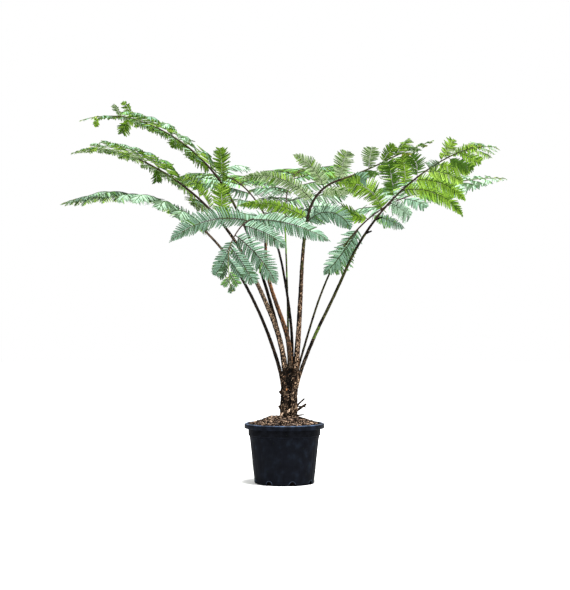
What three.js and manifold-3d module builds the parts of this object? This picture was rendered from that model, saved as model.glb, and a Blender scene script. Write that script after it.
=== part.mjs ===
// Tree fern in a round nursery pot: a short scaly trunk of merged leaf stalks that forks into
// nine stipes, each carrying one arching frond.
//
// Millimetres, +Z up. The origin is the middle of the pot's flat underside, which stands on
// the plane Z = 0. +X is the right of the front view and +Y points away from its viewer.
//
// A frond is two solids. The stipe is its bare stalk, from the fork to the first leaflets.
// The blade is the rachis that carries on from it, with one thin pinna for each leaflet of
// the first order, fused on in pairs.

import * as THREE from 'three';
import { mergeVertices } from 'three/addons/utils/BufferGeometryUtils.js';
import Module from 'manifold-3d';

const wasm = await Module();
wasm.setup();

// Clearances
const GAP = 0.3;            // between solids that touch on the real plant
const CLEARANCE = 1.5;      // least room that a pinna keeps to any other limb

// Pot
const POT = {
  height: 285,
  rimRadius: 190,
  rimHeight: 23,
  lipThickness: 3.5,
  collarRadius: 171,
  collarHeight: 33,
  bodyTopRadius: 164.5,
  baseRadius: 141.5,
  edgeRadius: 8,
  wall: 4,
  floor: 4,
  sides: 36,
};
const NOTCH = { count: 8, first: -75, width: 19, height: 14, depth: 30 };

// Potting mix, heaped round the trunk
const SOIL = { edgeLevel: 279, shoulderRadius: 108, shoulderLevel: 299, topRadius: 68 };

// Trunk: a column whose surface is made of the merged butts of the stipes
const TRUNK = { foot: 314, fork: 546, coreTop: 520, footCentre: [16, 0], topCentre: [33, 0] };
const CORE_RADII = [35, 32, 32, 36, 34, 16];    // at even heights from the foot to the core's top
const BUTT_SWELL = 1.3;                         // a butt's radius at the soil against its stipe's
const BUTT_SIDES = 7;
const BUTT_RINGS = 4;
const CORE_SIDES = 12;
const STUB_SIDES = 5;

// Cut and broken stalks left low on the trunk: root, tip and radii at both
const STUBS = [
  { from: [40, -8, 352], to: [95, -22, 402], radii: [6, 3.5] },
  { from: [38, 4, 330], to: [104, 6, 374], radii: [8, 5] },
  { from: [44, 8, 366], to: [103, 22, 358], radii: [4, 2.5] },
  { from: [40, -10, 319], to: [92, -20, 326], radii: [5, 3] },
  { from: [4, 6, 408], to: [-23, -4, 436], radii: [9, 6] },
  { from: [2, 4, 326], to: [-25, -10, 366], radii: [9, 6] },
  { from: [14, -14, 318], to: [22, -50, 352], radii: [8, 5] },
  { from: [0, -10, 318], to: [-10, -42, 338], radii: [8, 5] },
];

// Fronds. Lists are values at even spacings: heading and lean from the fork to the blade's
// tip, roll, sag and angle from the blade's first pinnae to its tip.
//   foot     where the stipe leaves the trunk, at the fork's level
//   butt     where its base stands, at the soil
//   heading  the way it points in plan, degrees from +X towards +Y
//   lean     degrees from the vertical
//   roll     turn of the blade about its rachis, positive with the left side up
//   tilt     turn of each pinna about its own rib, positive with its front edge down
//   lift     how far a pinna starts out above the blade's plane
//   sag      how much the pinnae droop over their length
//   angle    between a pinna and the rachis
//   fade     how the pinnae shorten towards the tip, sooner for smaller values
//   torn     from where along the blade the pinnae are torn short, and the share that is left
//   skip     pinnae that are broken off, counted from the first
//   own      pinnae with a course of their own, told as they look from the front: length, angle
//            at the root and at the tip from +X towards +Z, slope away from the front, turn of
//            the upper side about the rib from facing the front, and reach of their leaflets
const FRONDS = [
  { name: 'left_high', foot: [6, 16], butt: [2, 20], stipe: 910, blade: 810, thick: [18, 11],
    heading: [168, 172, 180, 192, 196], lean: [10, 16, 19, 29, 50, 73, 110],
    roll: [8, 2, 0, 0, 0], tilt: 0, lift: 0.1, sag: [0.1, 0.2], angle: [80, 48, 42, 36],
    pinna: 280, first: 0.7, fade: 1.7, torn: [0.76, 0.5], pairs: 13, skip: [],
    own: {
      0: [165, 88, 96, -0.35, 180, 54], 1: [190, 75, -38, 0.4, -50, 48],
      14: [88, 112, 124, -0.7, 150, 30], 15: [78, -130, -110, 0.2, 160, 44],
      16: [62, 112, 126, -0.7, 150, 24], 21: [45, -100, -80, 0.1, 160, 20],
    } },
  { name: 'left_middle', foot: [2, -8], butt: [4, -20], stipe: 725, blade: 855, thick: [27, 13],
    heading: [178, 184], lean: [6, 23, 26, 41, 55, 69, 110], roll: [10, 8, 7, 7, 7], tilt: 0,
    lift: 0.14, sag: [0.05, 0.15], angle: [80, 48, 42, 36], pinna: 280, first: 0.6, fade: 1.55,
    torn: [0.82, 0.75], pairs: 14, skip: [],
    own: {
      0: [190, 95, 88, -0.25, 180, 62], 1: [150, 60, 20, 0.6, -150, 50],
      2: [140, 110, 135, -0.5, 180, 46], 4: [128, 88, 158, -0.7, 175, 46],
      11: [60, -100, -95, 0.5, 160, 36],
    } },
  { name: 'left_low', foot: [-24, 2], butt: [-10, 2], stipe: 745, blade: 735, thick: [17, 11],
    heading: [182, 172], lean: [16, 23, 31, 46, 69, 92, 104], roll: [0, 0], tilt: 0, lift: 0.28,
    sag: [0.7, 0.6], angle: [78, 60, 45], pinna: 310, first: 0.55, fade: 1.55, torn: [1, 1],
    pairs: 13, skip: [],
    own: {
      0: [190, 150, 140, -0.15, -20, 44],
    } },
  { name: 'front', foot: [25, -22], butt: [22, 0], stipe: 850, blade: 570, thick: [25, 8],
    heading: [185, 192, 268, 246, 254, 290], lean: [-4, 19, 22, 14, 92, 116, 130, 160],
    roll: [0, 0], tilt: 30, lift: 0.1, sag: [0.35, 2.4, 3.0], angle: [88, 56, 40], pinna: 275,
    first: 1.6, fade: 1.55, torn: [1, 1], pairs: 7, skip: [3],
    own: {
      0: [375, 2, -33, -0.12, -20, 58], 1: [380, 166, 225, -0.12, -20, 60],
      2: [225, -10, -44, -0.15, -10, 50], 4: [286, -36, -63, -0.15, 0, 60],
      5: [174, -112, -134, -0.1, 10, 40], 6: [190, -50, -64, -0.1, 0, 48],
      7: [125, -112, -124, -0.1, 0, 36], 8: [95, -48, -60, -0.1, 0, 36],
      9: [75, -112, -130, -0.1, 0, 28], 10: [70, -48, -62, -0.1, 0, 28],
      11: [50, -110, -128, -0.1, 0, 22], 12: [36, -58, -70, -0.1, 0, 16],
      13: [28, -92, -96, -0.1, 0, 14],
    } },
  { name: 'back_left', foot: [36, 10], butt: [34, 8], stipe: 720, blade: 760, thick: [15, 9],
    heading: [150, 142, 128, 118], lean: [-3, 8, 14, 34, 60, 88, 108], roll: [0, 0], tilt: 12,
    lift: 0.1, sag: [0.2, 0.4], angle: [82, 64, 45], pinna: 330, first: 0.6, fade: 1.55,
    torn: [1, 1], pairs: 12, skip: [], own: {} },
  { name: 'back', foot: [22, 33], butt: [18, 27], stipe: 680, blade: 740, thick: [11, 7],
    heading: [160, 110, 70, 55], lean: [2, 1, 5, 16, 52, 88, 108], roll: [0, 0], tilt: 12,
    lift: 0.1, sag: [0.2, 0.4], angle: [82, 64, 45], pinna: 320, first: 0.6, fade: 1.55,
    torn: [1, 1], pairs: 12, skip: [], own: {} },
  { name: 'right_inner', foot: [54, -10], butt: [42, -16], stipe: 660, blade: 780,
    thick: [28, 14], heading: [-60, -60, -45, -8, 10], lean: [10, 6, 5, 15, 74, 63, 71],
    roll: [-24, -18], tilt: 0, lift: 0.1, sag: [0.3, 0.2, 0.2], angle: [84, 64, 48], pinna: 310,
    first: 1.25, fade: 1.55, torn: [0.8, 0.5], pairs: 12, skip: [],
    own: {
      0: [262, 62, -76, -0.25, -15, 62], 1: [340, 145, 195, -0.3, 150, 40],
      2: [180, 10, -35, 0.3, -40, 44], 3: [381, 128, 200, -0.25, 160, 42],
      4: [150, 15, -10, 0.6, -140, 38], 5: [216, 105, 162, -0.25, 180, 44],
      6: [120, 12, 0, 0.8, -150, 36], 7: [135, 80, 66, -0.6, 180, 58],
      8: [70, 20, -20, 2.5, -120, 40], 9: [60, -20, -60, -2.5, 30, 40],
      10: [70, 10, -20, 2.5, -120, 38], 11: [96, 86, 78, -0.7, 180, 54],
      12: [70, 0, -20, 2.2, -120, 34], 13: [95, 60, 45, -0.5, 170, 40],
    } },
  { name: 'right_low', foot: [66, 14], butt: [42, 14], stipe: 690, blade: 890, thick: [11, 8],
    heading: [14, 20], lean: [16, 18, 27, 49, 73, 76, 93], roll: [12, 25], tilt: 0, lift: 0.1,
    sag: [0.9, 0.3, 0.3, 0.3], angle: [150, 80, 60, 45], pinna: 310, first: 0.7, fade: 1.55,
    torn: [0.66, 0.6], pairs: 13, skip: [],
    own: {
      0: [215, -112, -124, 0.1, 30, 60], 1: [282, -120, -134, -0.25, 5, 62],
      2: [130, 168, 140, 1.1, 150, 52], 3: [95, -10, -50, -1.5, -30, 44],
      5: [110, -5, -45, -1.4, -30, 44], 7: [120, -8, -40, -1.3, -30, 44],
      9: [130, -5, -35, -1.2, -30, 42], 11: [110, 0, -35, -1, -30, 38],
      13: [90, -5, -35, -0.8, -30, 34],
    } },
  { name: 'right_high', foot: [83, -2], butt: [48, -2], stipe: 790, blade: 770, thick: [17, 11],
    heading: [-8, -22, -42, -46], lean: [20, 27, 25, 41, 58, 71, 98], roll: [-22, -20], tilt: 0,
    lift: 0.1, sag: [0.2, 0.5], angle: [76, 55, 42], pinna: 340, first: 0.8, fade: 1.0,
    torn: [1, 1], pairs: 12, skip: [],
    own: {
      0: [140, -15, -30, 0.5, -20, 36], 1: [218, 97, 185, -0.5, 170, 74],
      2: [120, -20, -45, 0.6, -15, 52], 3: [170, 90, 112, -0.55, 180, 70],
      4: [330, 14, -58, 0.1, -165, 48], 5: [138, 88, 108, -0.6, 180, 62],
      6: [270, 10, -50, 0.15, -165, 48], 7: [105, 78, 140, -0.7, 180, 58],
      8: [190, 8, -40, 0.2, -165, 44], 9: [40, 40, 20, -4, 180, 36],
      10: [155, -8, -12, 0.3, -160, 42], 11: [110, 58, 66, -0.6, 180, 42],
      12: [128, -30, -5, 0.4, -160, 38], 13: [90, 28, 8, -0.9, 175, 30],
      14: [110, -25, -10, 0.4, -160, 34], 15: [80, 20, 0, -0.9, 175, 26],
    } },
];
const STEP = 10;            // length of a step along a rachis
const STIPE_SPAN = 95;      // spacing of a stipe's rings
const BLADE_SPAN = 85;      // spacing of a rachis's rings in the blade
const LIMB_SIDES = 7;
const RACHIS_SIDES = 5;
const TIP_RADIUS = 1.5;     // of a rachis at its tip
const SHINGLE = 7;          // degrees more of tilt, so that neighbours overlap like tiles
const PINNA_THICKNESS = 0.012;              // against its length
const PINNA_LEAST = 3;      // least thickness of a pinna
const PINNA_SLIMNESS = 0.12;                // greatest half width against its length
const OWN_WIDTH = 0.5;      // half width where a pinna's leaflets are known, against their reach
const PINNA_STATIONS = [0, 0.22, 0.74, 1];
const PINNA_WIDTHS = [0.08, 1, 0.85, 0];    // at the stations, against its half width
const PINNA_SHORTER = [1, 0.8, 0.6, 0.4];   // lengths tried until a pinna is clear of the rest

// Colours from the plant in daylight
const FINISHES = {
  pot: { color: 0x1b1e27, roughness: 0.55 },
  soil: { color: 0x62504a, roughness: 1 },
  trunk: { color: 0x372c26, roughness: 0.95 },
  stipe: { color: 0x50442c, roughness: 0.8 },
  frond: { color: 0x86a97c, roughness: 0.7 },
};

const degrees = THREE.MathUtils.degToRad;

// Value at t from 0 to 1 in a list of evenly spaced values.
function spread(values, t) {
  const x = THREE.MathUtils.clamp(t, 0, 1) * (values.length - 1);
  const i = Math.min(Math.floor(x), values.length - 2);
  return values[i] + (values[i + 1] - values[i]) * (x - i);
}

function mesh(name, geometry, finish) {
  const material = new THREE.MeshStandardMaterial({ ...FINISHES[finish], metalness: 0 });
  const result = new THREE.Mesh(geometry, material);
  result.name = name;
  return result;
}

// Solids for joining and cutting, and back again.
function toSolid(geometry) {
  const bare = geometry.clone();
  bare.deleteAttribute('normal');
  bare.deleteAttribute('uv');
  const merged = mergeVertices(bare, 1e-4);
  return new wasm.Manifold(new wasm.Mesh({
    numProp: 3,
    vertProperties: new Float32Array(merged.attributes.position.array),
    triVerts: new Uint32Array(merged.index.array),
  }));
}

function toGeometry(solid) {
  const result = solid.getMesh();
  const geometry = new THREE.BufferGeometry();
  geometry.setAttribute('position', new THREE.BufferAttribute(result.vertProperties, 3));
  geometry.setIndex(new THREE.BufferAttribute(result.triVerts, 1));
  geometry.computeVertexNormals();
  return geometry;
}

function join(solids) {
  return solids.reduce((whole, solid) => whole.add(solid));
}

// Closed skin over a row of rings with equal numbers of points. A ring may be one repeated
// point, where the body ends in a tip.
function skin(rings) {
  const sides = rings[0].length;
  const positions = rings.flat().flatMap((point) => point.toArray());
  const index = [];
  for (let ring = 0; ring < rings.length - 1; ring += 1) {
    for (let side = 0; side < sides; side += 1) {
      const a = ring * sides + side;
      const b = ring * sides + ((side + 1) % sides);
      index.push(a, b, b + sides, a, b + sides, a + sides);
    }
  }
  const last = (rings.length - 1) * sides;
  for (let side = 1; side < sides - 1; side += 1) {
    index.push(0, side + 1, side);
    index.push(last, last + side, last + side + 1);
  }
  const geometry = new THREE.BufferGeometry();
  geometry.setAttribute('position', new THREE.Float32BufferAttribute(positions, 3));
  geometry.setIndex(index);
  return geometry;
}

// Round ring of a limb, seen along its direction.
function limbRing(centre, direction, radius, sides) {
  const across = new THREE.Vector3(0, 1, 0).cross(direction).normalize();
  const up = direction.clone().cross(across);
  const ring = [];
  for (let side = 0; side < sides; side += 1) {
    const angle = (2 * Math.PI * side) / sides;
    ring.push(centre.clone()
      .addScaledVector(across, radius * Math.cos(angle))
      .addScaledVector(up, radius * Math.sin(angle)));
  }
  return ring;
}

// Straight tapering stalk between two points.
function stalk({ from, to, radii }) {
  const start = new THREE.Vector3(...from);
  const end = new THREE.Vector3(...to);
  const direction = end.clone().sub(start).normalize();
  return skin([
    limbRing(start, direction, radii[0], STUB_SIDES),
    limbRing(end, direction, radii[1], STUB_SIDES),
  ]);
}

// Pot: wall, floor, stepped collar and a lip that turns down all round.
function potGeometry() {
  const rimBottom = POT.height - POT.rimHeight;
  const collarBottom = rimBottom - POT.collarHeight;
  const lipInside = POT.rimRadius - POT.lipThickness;
  const lipUnder = POT.height - POT.lipThickness;
  const inside = POT.collarRadius - POT.wall;
  const profile = [
    [0, 0],
    [POT.baseRadius - POT.edgeRadius, 0],
    [POT.baseRadius - 0.3 * POT.edgeRadius, 0.3 * POT.edgeRadius],
    [POT.baseRadius, POT.edgeRadius],
    [POT.bodyTopRadius, collarBottom - 3],
    [POT.collarRadius, collarBottom],
    [POT.collarRadius, lipUnder],
    [lipInside, lipUnder],
    [lipInside, rimBottom],
    [POT.rimRadius, rimBottom],
    [POT.rimRadius, POT.height - 5],
    [POT.rimRadius - 5, POT.height],
    [inside, POT.height],
    [inside, collarBottom],
    [POT.bodyTopRadius - POT.wall, collarBottom - 3],
    [POT.baseRadius - POT.wall, POT.floor],
    [0, POT.floor],
  ].map(([x, y]) => new THREE.Vector2(x, y));
  const geometry = new THREE.LatheGeometry(profile, POT.sides);
  geometry.rotateX(Math.PI / 2);
  return geometry;
}

// Arched drain opening in the foot of the wall, pointing outwards at an angle in plan.
function notchGeometry(angle) {
  const half = NOTCH.width / 2;
  const springing = NOTCH.height - half;
  const outline = new THREE.Shape();
  outline.moveTo(-half, -1);
  outline.lineTo(half, -1);
  outline.lineTo(half, springing);
  outline.absarc(0, springing, half, 0, Math.PI, false);
  const geometry = new THREE.ExtrudeGeometry(outline, {
    depth: NOTCH.depth, bevelEnabled: false, curveSegments: 6,
  });
  geometry.rotateX(Math.PI / 2);
  geometry.rotateZ(Math.PI / 2);
  geometry.translate(POT.baseRadius - NOTCH.depth / 2, 0, 0);
  geometry.rotateZ(angle);
  return geometry;
}

function makePot() {
  let solid = toSolid(potGeometry());
  for (let i = 0; i < NOTCH.count; i += 1) {
    const angle = NOTCH.first - 90 + (360 * i) / NOTCH.count;
    solid = solid.subtract(toSolid(notchGeometry(degrees(angle))));
  }
  return solid;
}

// Potting mix: fills the pot, and rises to a flat seat under the trunk.
function makeSoil() {
  const collarBottom = POT.height - POT.rimHeight - POT.collarHeight;
  const clear = POT.wall + GAP;
  const profile = [
    [0, POT.floor + GAP],
    [POT.baseRadius - clear - 0.2, POT.floor + GAP],
    [POT.bodyTopRadius - clear, collarBottom - 3],
    [POT.collarRadius - clear, collarBottom + 1],
    [POT.collarRadius - clear, SOIL.edgeLevel],
    [SOIL.shoulderRadius, SOIL.shoulderLevel],
    [SOIL.topRadius, TRUNK.foot - GAP],
    [0, TRUNK.foot - GAP],
  ].map(([x, y]) => new THREE.Vector2(x, y));
  const geometry = new THREE.LatheGeometry(profile, POT.sides);
  geometry.rotateX(Math.PI / 2);
  return toSolid(geometry);
}

// Line of a whole frond from the fork to its tip, in short steps.
function frondLine(frond) {
  const length = frond.stipe + frond.blade;
  const count = Math.round(length / STEP);
  const step = length / count;
  const points = [new THREE.Vector3(...frond.foot, TRUNK.fork)];
  const directions = [];
  for (let i = 0; i < count; i += 1) {
    const t = (i + 0.5) / count;
    const lean = degrees(spread(frond.lean, t));
    const heading = degrees(spread(frond.heading, t));
    const direction = new THREE.Vector3(
      Math.sin(lean) * Math.cos(heading),
      Math.sin(lean) * Math.sin(heading),
      Math.cos(lean),
    );
    directions.push(direction);
    points.push(points[i].clone().addScaledVector(direction, step));
  }
  directions.push(directions[count - 1]);
  return { points, directions, step, length };
}

function along(line, distance) {
  const x = distance / line.step;
  const i = Math.min(Math.floor(x), line.points.length - 2);
  const part = Math.min(x - i, 1);
  return {
    point: line.points[i].clone().lerp(line.points[i + 1], part),
    direction: line.directions[i].clone().lerp(line.directions[i + 1], part).normalize(),
  };
}

// Tapering round limb along part of a frond's line.
function limbGeometry(line, from, to, radii, span, sides) {
  const count = Math.max(2, Math.round((to - from) / span));
  const rings = [];
  for (let i = 0; i <= count; i += 1) {
    const t = i / count;
    const { point, direction } = along(line, from + (to - from) * t);
    rings.push(limbRing(point, direction, spread(radii, t), sides));
  }
  return skin(rings);
}

// Base of a stipe inside the trunk, from the soil up to the fork.
function buttGeometry(frond, line) {
  const start = new THREE.Vector3(...frond.butt, TRUNK.foot);
  const end = line.points[0];
  const inwards = line.directions[0].clone().multiplyScalar(-0.45 * (end.z - start.z));
  const upright = new THREE.Vector3(0, 0, 0.45 * (end.z - start.z));
  const path = new THREE.CubicBezierCurve3(
    start, start.clone().add(upright), end.clone().add(inwards), end,
  );
  const radius = frond.thick[0] / 2;
  const rings = [];
  for (let i = 0; i <= BUTT_RINGS; i += 1) {
    const t = i / BUTT_RINGS;
    const swell = 1 + (BUTT_SWELL - 1) * (1 - t);
    const direction = path.getTangent(t);
    rings.push(limbRing(path.getPoint(t), direction, radius * swell + 2 * (1 - t), BUTT_SIDES));
  }
  return skin(rings);
}

function coreGeometry() {
  const rings = CORE_RADII.map((radius, i) => {
    const t = i / (CORE_RADII.length - 1);
    const centre = new THREE.Vector3(
      THREE.MathUtils.lerp(TRUNK.footCentre[0], TRUNK.topCentre[0], t),
      THREE.MathUtils.lerp(TRUNK.footCentre[1], TRUNK.topCentre[1], t),
      THREE.MathUtils.lerp(TRUNK.foot, TRUNK.coreTop, t),
    );
    return limbRing(centre, new THREE.Vector3(0, 0, 1), radius, CORE_SIDES);
  });
  return skin(rings);
}

function makeTrunk(lines) {
  const butts = FRONDS.map((frond, i) => toSolid(buttGeometry(frond, lines[i])));
  const stubs = STUBS.map((stub) => toSolid(stalk(stub)));
  const below = new THREE.BoxGeometry(2 * POT.rimRadius, 2 * POT.rimRadius, POT.height);
  below.translate(0, 0, TRUNK.foot - POT.height / 2);
  return join([toSolid(coreGeometry()), ...butts, ...stubs]).subtract(toSolid(below));
}

// Share of the longest pinna's length at u from 0 to 1 along a blade.
const PEAK = 0.28;
function envelope(u, first, fade) {
  if (u < PEAK) return first + (1 - first) * Math.sin((Math.PI / 2) * (u / PEAK));
  return 1 - 0.93 * ((u - PEAK) / (1 - PEAK)) ** fade;
}

// Attitude and length of a pinna that doesn't follow its blade's rule.
function ownCourse([span, start, end, depth, turn, leaflet]) {
  const courseAt = (t) => {
    const angle = degrees(start + (end - start) * t);
    return new THREE.Vector3(Math.cos(angle), depth, Math.sin(angle)).normalize();
  };
  const rib = courseAt(0.5);
  const up = new THREE.Vector3(0, -1, 0);
  up.addScaledVector(rib, -up.dot(rib)).normalize().applyAxisAngle(rib, degrees(turn));
  return { courseAt, up, length: span * Math.hypot(1, depth), halfWidth: OWN_WIDTH * leaflet };
}

// Roots, directions and lengths of a blade's pinnae, in pairs that close up to the tip.
function pinnaePlan(frond, line) {
  const plan = [];
  for (let pair = 0; pair < frond.pairs; pair += 1) {
    for (const side of [1, -1]) {
      const t = (pair + (side > 0 ? 0.25 : 0.55)) / frond.pairs;
      const u = 1 - (1 - t) ** 1.4;
      const distance = frond.stipe + u * frond.blade;
      const { point, direction } = along(line, distance);
      const heading = degrees(spread(frond.heading, distance / line.length));
      const left = new THREE.Vector3(-Math.sin(heading), Math.cos(heading), 0);
      left.addScaledVector(direction, -left.dot(direction)).normalize();
      const turn = degrees(spread(frond.roll, u));
      left.applyAxisAngle(direction, turn);
      const up = direction.clone().cross(left);
      const angle = degrees(spread(frond.angle, u));
      const outwards = direction.clone().multiplyScalar(Math.cos(angle))
        .addScaledVector(left, side * Math.sin(angle))
        .addScaledVector(up, frond.lift).normalize();
      const forwards = direction.clone()
        .addScaledVector(outwards, -direction.dot(outwards)).normalize();
      const tilt = degrees(frond.tilt + SHINGLE);
      up.multiplyScalar(Math.cos(tilt)).addScaledVector(forwards, Math.sin(tilt));
      const spacing = (1.4 * (1 - t) ** 0.4 * frond.blade) / frond.pairs;
      const whole = u > frond.torn[0] ? frond.torn[1] : 1;
      const sag = spread(frond.sag, u);
      const length = frond.pinna * envelope(u, frond.first, frond.fade) * whole;
      const pinna = {
        root: point,
        courseAt: (s) => outwards.clone().add(new THREE.Vector3(0, 0, -sag * s)).normalize(),
        up,
        length,
        halfWidth: Math.min(0.4 * spacing * Math.sin(angle), PINNA_SLIMNESS * length),
      };
      const own = frond.own[plan.length];
      plan.push(own ? { ...pinna, ...ownCourse(own) } : pinna);
    }
  }
  return plan.filter((pinna, i) => !frond.skip.includes(i));
}

// One pinna: a blade with a flat underside and a low ridge along its top, narrow at its root
// and pointed at its tip. Grow is a skin added all round it to test for room.
function pinnaGeometry(pinna, scale, grow) {
  const length = pinna.length * scale;
  const halfWidth = pinna.halfWidth * scale;
  const thickness = Math.max(PINNA_LEAST, PINNA_THICKNESS * length);
  const tip = PINNA_STATIONS.length - 1;
  const rings = [];
  const point = pinna.root.clone();
  PINNA_STATIONS.forEach((t, i) => {
    const before = i > 0 ? PINNA_STATIONS[i - 1] : 0;
    const direction = pinna.courseAt((t + before) / 2);
    point.addScaledVector(direction, (t - before) * length);
    const up = pinna.up.clone().addScaledVector(direction, -pinna.up.dot(direction)).normalize();
    const across = up.clone().cross(direction);
    const width = PINNA_WIDTHS[i] * halfWidth + grow;
    const ridge = (i === tip ? 0 : thickness / 2) + grow;
    const under = (i === tip ? 0 : -thickness / 2) - grow;
    rings.push([
      point.clone().addScaledVector(across, width).addScaledVector(up, under),
      point.clone().addScaledVector(up, ridge),
      point.clone().addScaledVector(across, -width).addScaledVector(up, under),
    ]);
  });
  return skin(rings);
}

function boxesMeet(a, b) {
  const p = a.boundingBox();
  const q = b.boundingBox();
  return [0, 1, 2].every((k) => p.min[k] <= q.max[k] && q.min[k] <= p.max[k]);
}

function touches(solid, others) {
  return others.some((other) => boxesMeet(solid, other) && !solid.intersect(other).isEmpty());
}

// Blade of a frond: its rachis with every pinna that has room. A pinna that would touch
// another limb is made shorter, or left out.
function makeBlade(frond, line, rachis, others) {
  const pinnae = [];
  for (const pinna of pinnaePlan(frond, line)) {
    const scale = PINNA_SHORTER.find((share) => (
      !touches(toSolid(pinnaGeometry(pinna, share, CLEARANCE)), others)
    ));
    if (scale) pinnae.push(toSolid(pinnaGeometry(pinna, scale, 0)));
  }
  return join([rachis, ...pinnae]);
}

function makePlant() {
  const lines = FRONDS.map(frondLine);
  const trunk = makeTrunk(lines);
  const stipes = FRONDS.map((frond, i) => toSolid(limbGeometry(
    lines[i], GAP, frond.stipe - GAP, frond.thick.map((d) => d / 2), STIPE_SPAN, LIMB_SIDES,
  )));
  const rachises = FRONDS.map((frond, i) => toSolid(limbGeometry(
    lines[i], frond.stipe, lines[i].length, [frond.thick[1] / 2, TIP_RADIUS], BLADE_SPAN,
    RACHIS_SIDES,
  )));
  const blades = [...rachises];
  FRONDS.forEach((frond, i) => {
    const others = [trunk, ...stipes, ...blades.filter((blade, k) => k !== i)];
    blades[i] = makeBlade(frond, lines[i], rachises[i], others);
  });
  return { trunk, stipes, blades };
}

const plant = makePlant();
const fern = new THREE.Group();
fern.add(mesh('pot', toGeometry(makePot()), 'pot'));
fern.add(mesh('soil', toGeometry(makeSoil()), 'soil'));
fern.add(mesh('trunk', toGeometry(plant.trunk), 'trunk'));
FRONDS.forEach((frond, i) => {
  fern.add(mesh(`stipe_${frond.name}`, toGeometry(plant.stipes[i]), 'stipe'));
  fern.add(mesh(`frond_${frond.name}`, toGeometry(plant.blades[i]), 'frond'));
});

export default fern;
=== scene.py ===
"""Tree fern in a round nursery pot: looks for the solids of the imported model.

Lengths are millimetres, as in the solids, and become metres when a mesh is made. Each frond
grows by the same rule as its solid: a line of short steps, pinnae in pairs along its blade,
and here leaflets in two rows along each pinna.
"""

import math

import bpy
import numpy as np
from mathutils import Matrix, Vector


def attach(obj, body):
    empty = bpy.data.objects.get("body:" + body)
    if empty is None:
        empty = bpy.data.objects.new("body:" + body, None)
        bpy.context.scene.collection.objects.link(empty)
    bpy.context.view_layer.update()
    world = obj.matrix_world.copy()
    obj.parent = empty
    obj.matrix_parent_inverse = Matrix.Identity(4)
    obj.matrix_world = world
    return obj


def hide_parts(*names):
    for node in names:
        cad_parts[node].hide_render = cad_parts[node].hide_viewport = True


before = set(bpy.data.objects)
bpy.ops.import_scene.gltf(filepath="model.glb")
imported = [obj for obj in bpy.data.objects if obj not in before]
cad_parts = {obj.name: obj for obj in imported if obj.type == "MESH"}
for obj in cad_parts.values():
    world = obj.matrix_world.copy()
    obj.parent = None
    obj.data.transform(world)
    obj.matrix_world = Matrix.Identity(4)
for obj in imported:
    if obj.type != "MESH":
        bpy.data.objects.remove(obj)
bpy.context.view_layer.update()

MM = 0.001
rng = np.random.default_rng(12)

# Pot
POT = {
    "height": 285, "rim_radius": 190, "rim_height": 23, "lip": 3.5, "collar_radius": 171,
    "collar_height": 33, "ridge_height": 11, "body_top_radius": 164.5, "base_radius": 141.5,
    "edge_radius": 8, "wall": 4, "floor": 4, "panels": 24, "panel_groove": 1.1, "sides": 288,
}
RIM_BOTTOM = POT["height"] - POT["rim_height"]
COLLAR_BOTTOM = RIM_BOTTOM - POT["collar_height"]
BODY_TOP = COLLAR_BOTTOM - POT["ridge_height"]
NOTCH = {"count": 8, "first": -75, "width": 30, "height": 22, "depth": 30, "bead": 1.3}

# Potting mix
SOIL = {"edge": 279, "shoulder_radius": 108, "shoulder": 299, "top_radius": 68, "top": 313}
SOIL_GAP = 0.4               # to the pot's wall and floor
SOIL_SIDES = 216
CHIPS = 4200

# Trunk
TRUNK = {"foot": 314, "fork": 546, "core_top": 520, "foot_centre": (16, 0), "top_centre": (33, 0)}
CORE_RADII = [35, 32, 32, 36, 34, 16]
BUTT_SWELL = 1.3
TRUNK_VOXEL = 1.7
TRUNK_SEAM = 26              # where the two thickest stalks' bases meet on the front
ROOTED = 6                   # how deep the bases reach into the mix
RIDGE_STIPE = 26             # diameter from which a base stands out as a ridge
THICK_STIPE = 20             # diameter from which a stipe has coarse bark
TRUNK_SCALES = 2200
BARK_VALUES = [-0.12, 0.28, 0.68, 0.98]      # relief, patches and painted light and shade from which each colour shows
BARK_ORDER = ("black", "dark", "brown", "grey", "tan")

# Cut and broken stalks low on the trunk: root, tip and radii at both
STUBS = [
    ((40, -8, 352), (95, -22, 402), (6, 3.5)),
    ((38, 4, 330), (104, 6, 374), (8, 5)),
    ((44, 8, 366), (103, 22, 358), (4, 2.5)),
    ((40, -10, 319), (92, -20, 326), (5, 3)),
    ((4, 6, 408), (-23, -4, 436), (9, 6)),
    ((2, 4, 326), (-25, -10, 366), (9, 6)),
    ((14, -14, 318), (22, -50, 352), (8, 5)),
    ((0, -10, 318), (-10, -42, 338), (8, 5)),
]

# Broken stubs on the stipes: frond, height of the root, reach from it and radii at both ends
STIPE_STUBS = [
    ("right_high", 1240, (34, -8, 12), (5.5, 3.5)),
    ("right_high", 1176, (28, -10, 10), (6, 3.5)),
]

# Mossy patches on the stipes: frond, heights from and to
MOSS = [("right_high", 684, 742)]

# Torn pale fibres on the front of the trunk and on the stalks there: both ends, width, colour
SPLINTERS = [
    ((28, -54, 358), (14, -46, 334), 13, "pale"),
    ((-4, -48, 340), (-19, -44, 316), 10, "pale"),
    ((8, -43, 440), (13, -43, 453), 8, "amber"),
    ((-15, -40, 342), (-22, -38, 320), 5, "tan"),
    ((20, -52, 336), (27, -46, 322), 5, "grey"),
]
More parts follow.
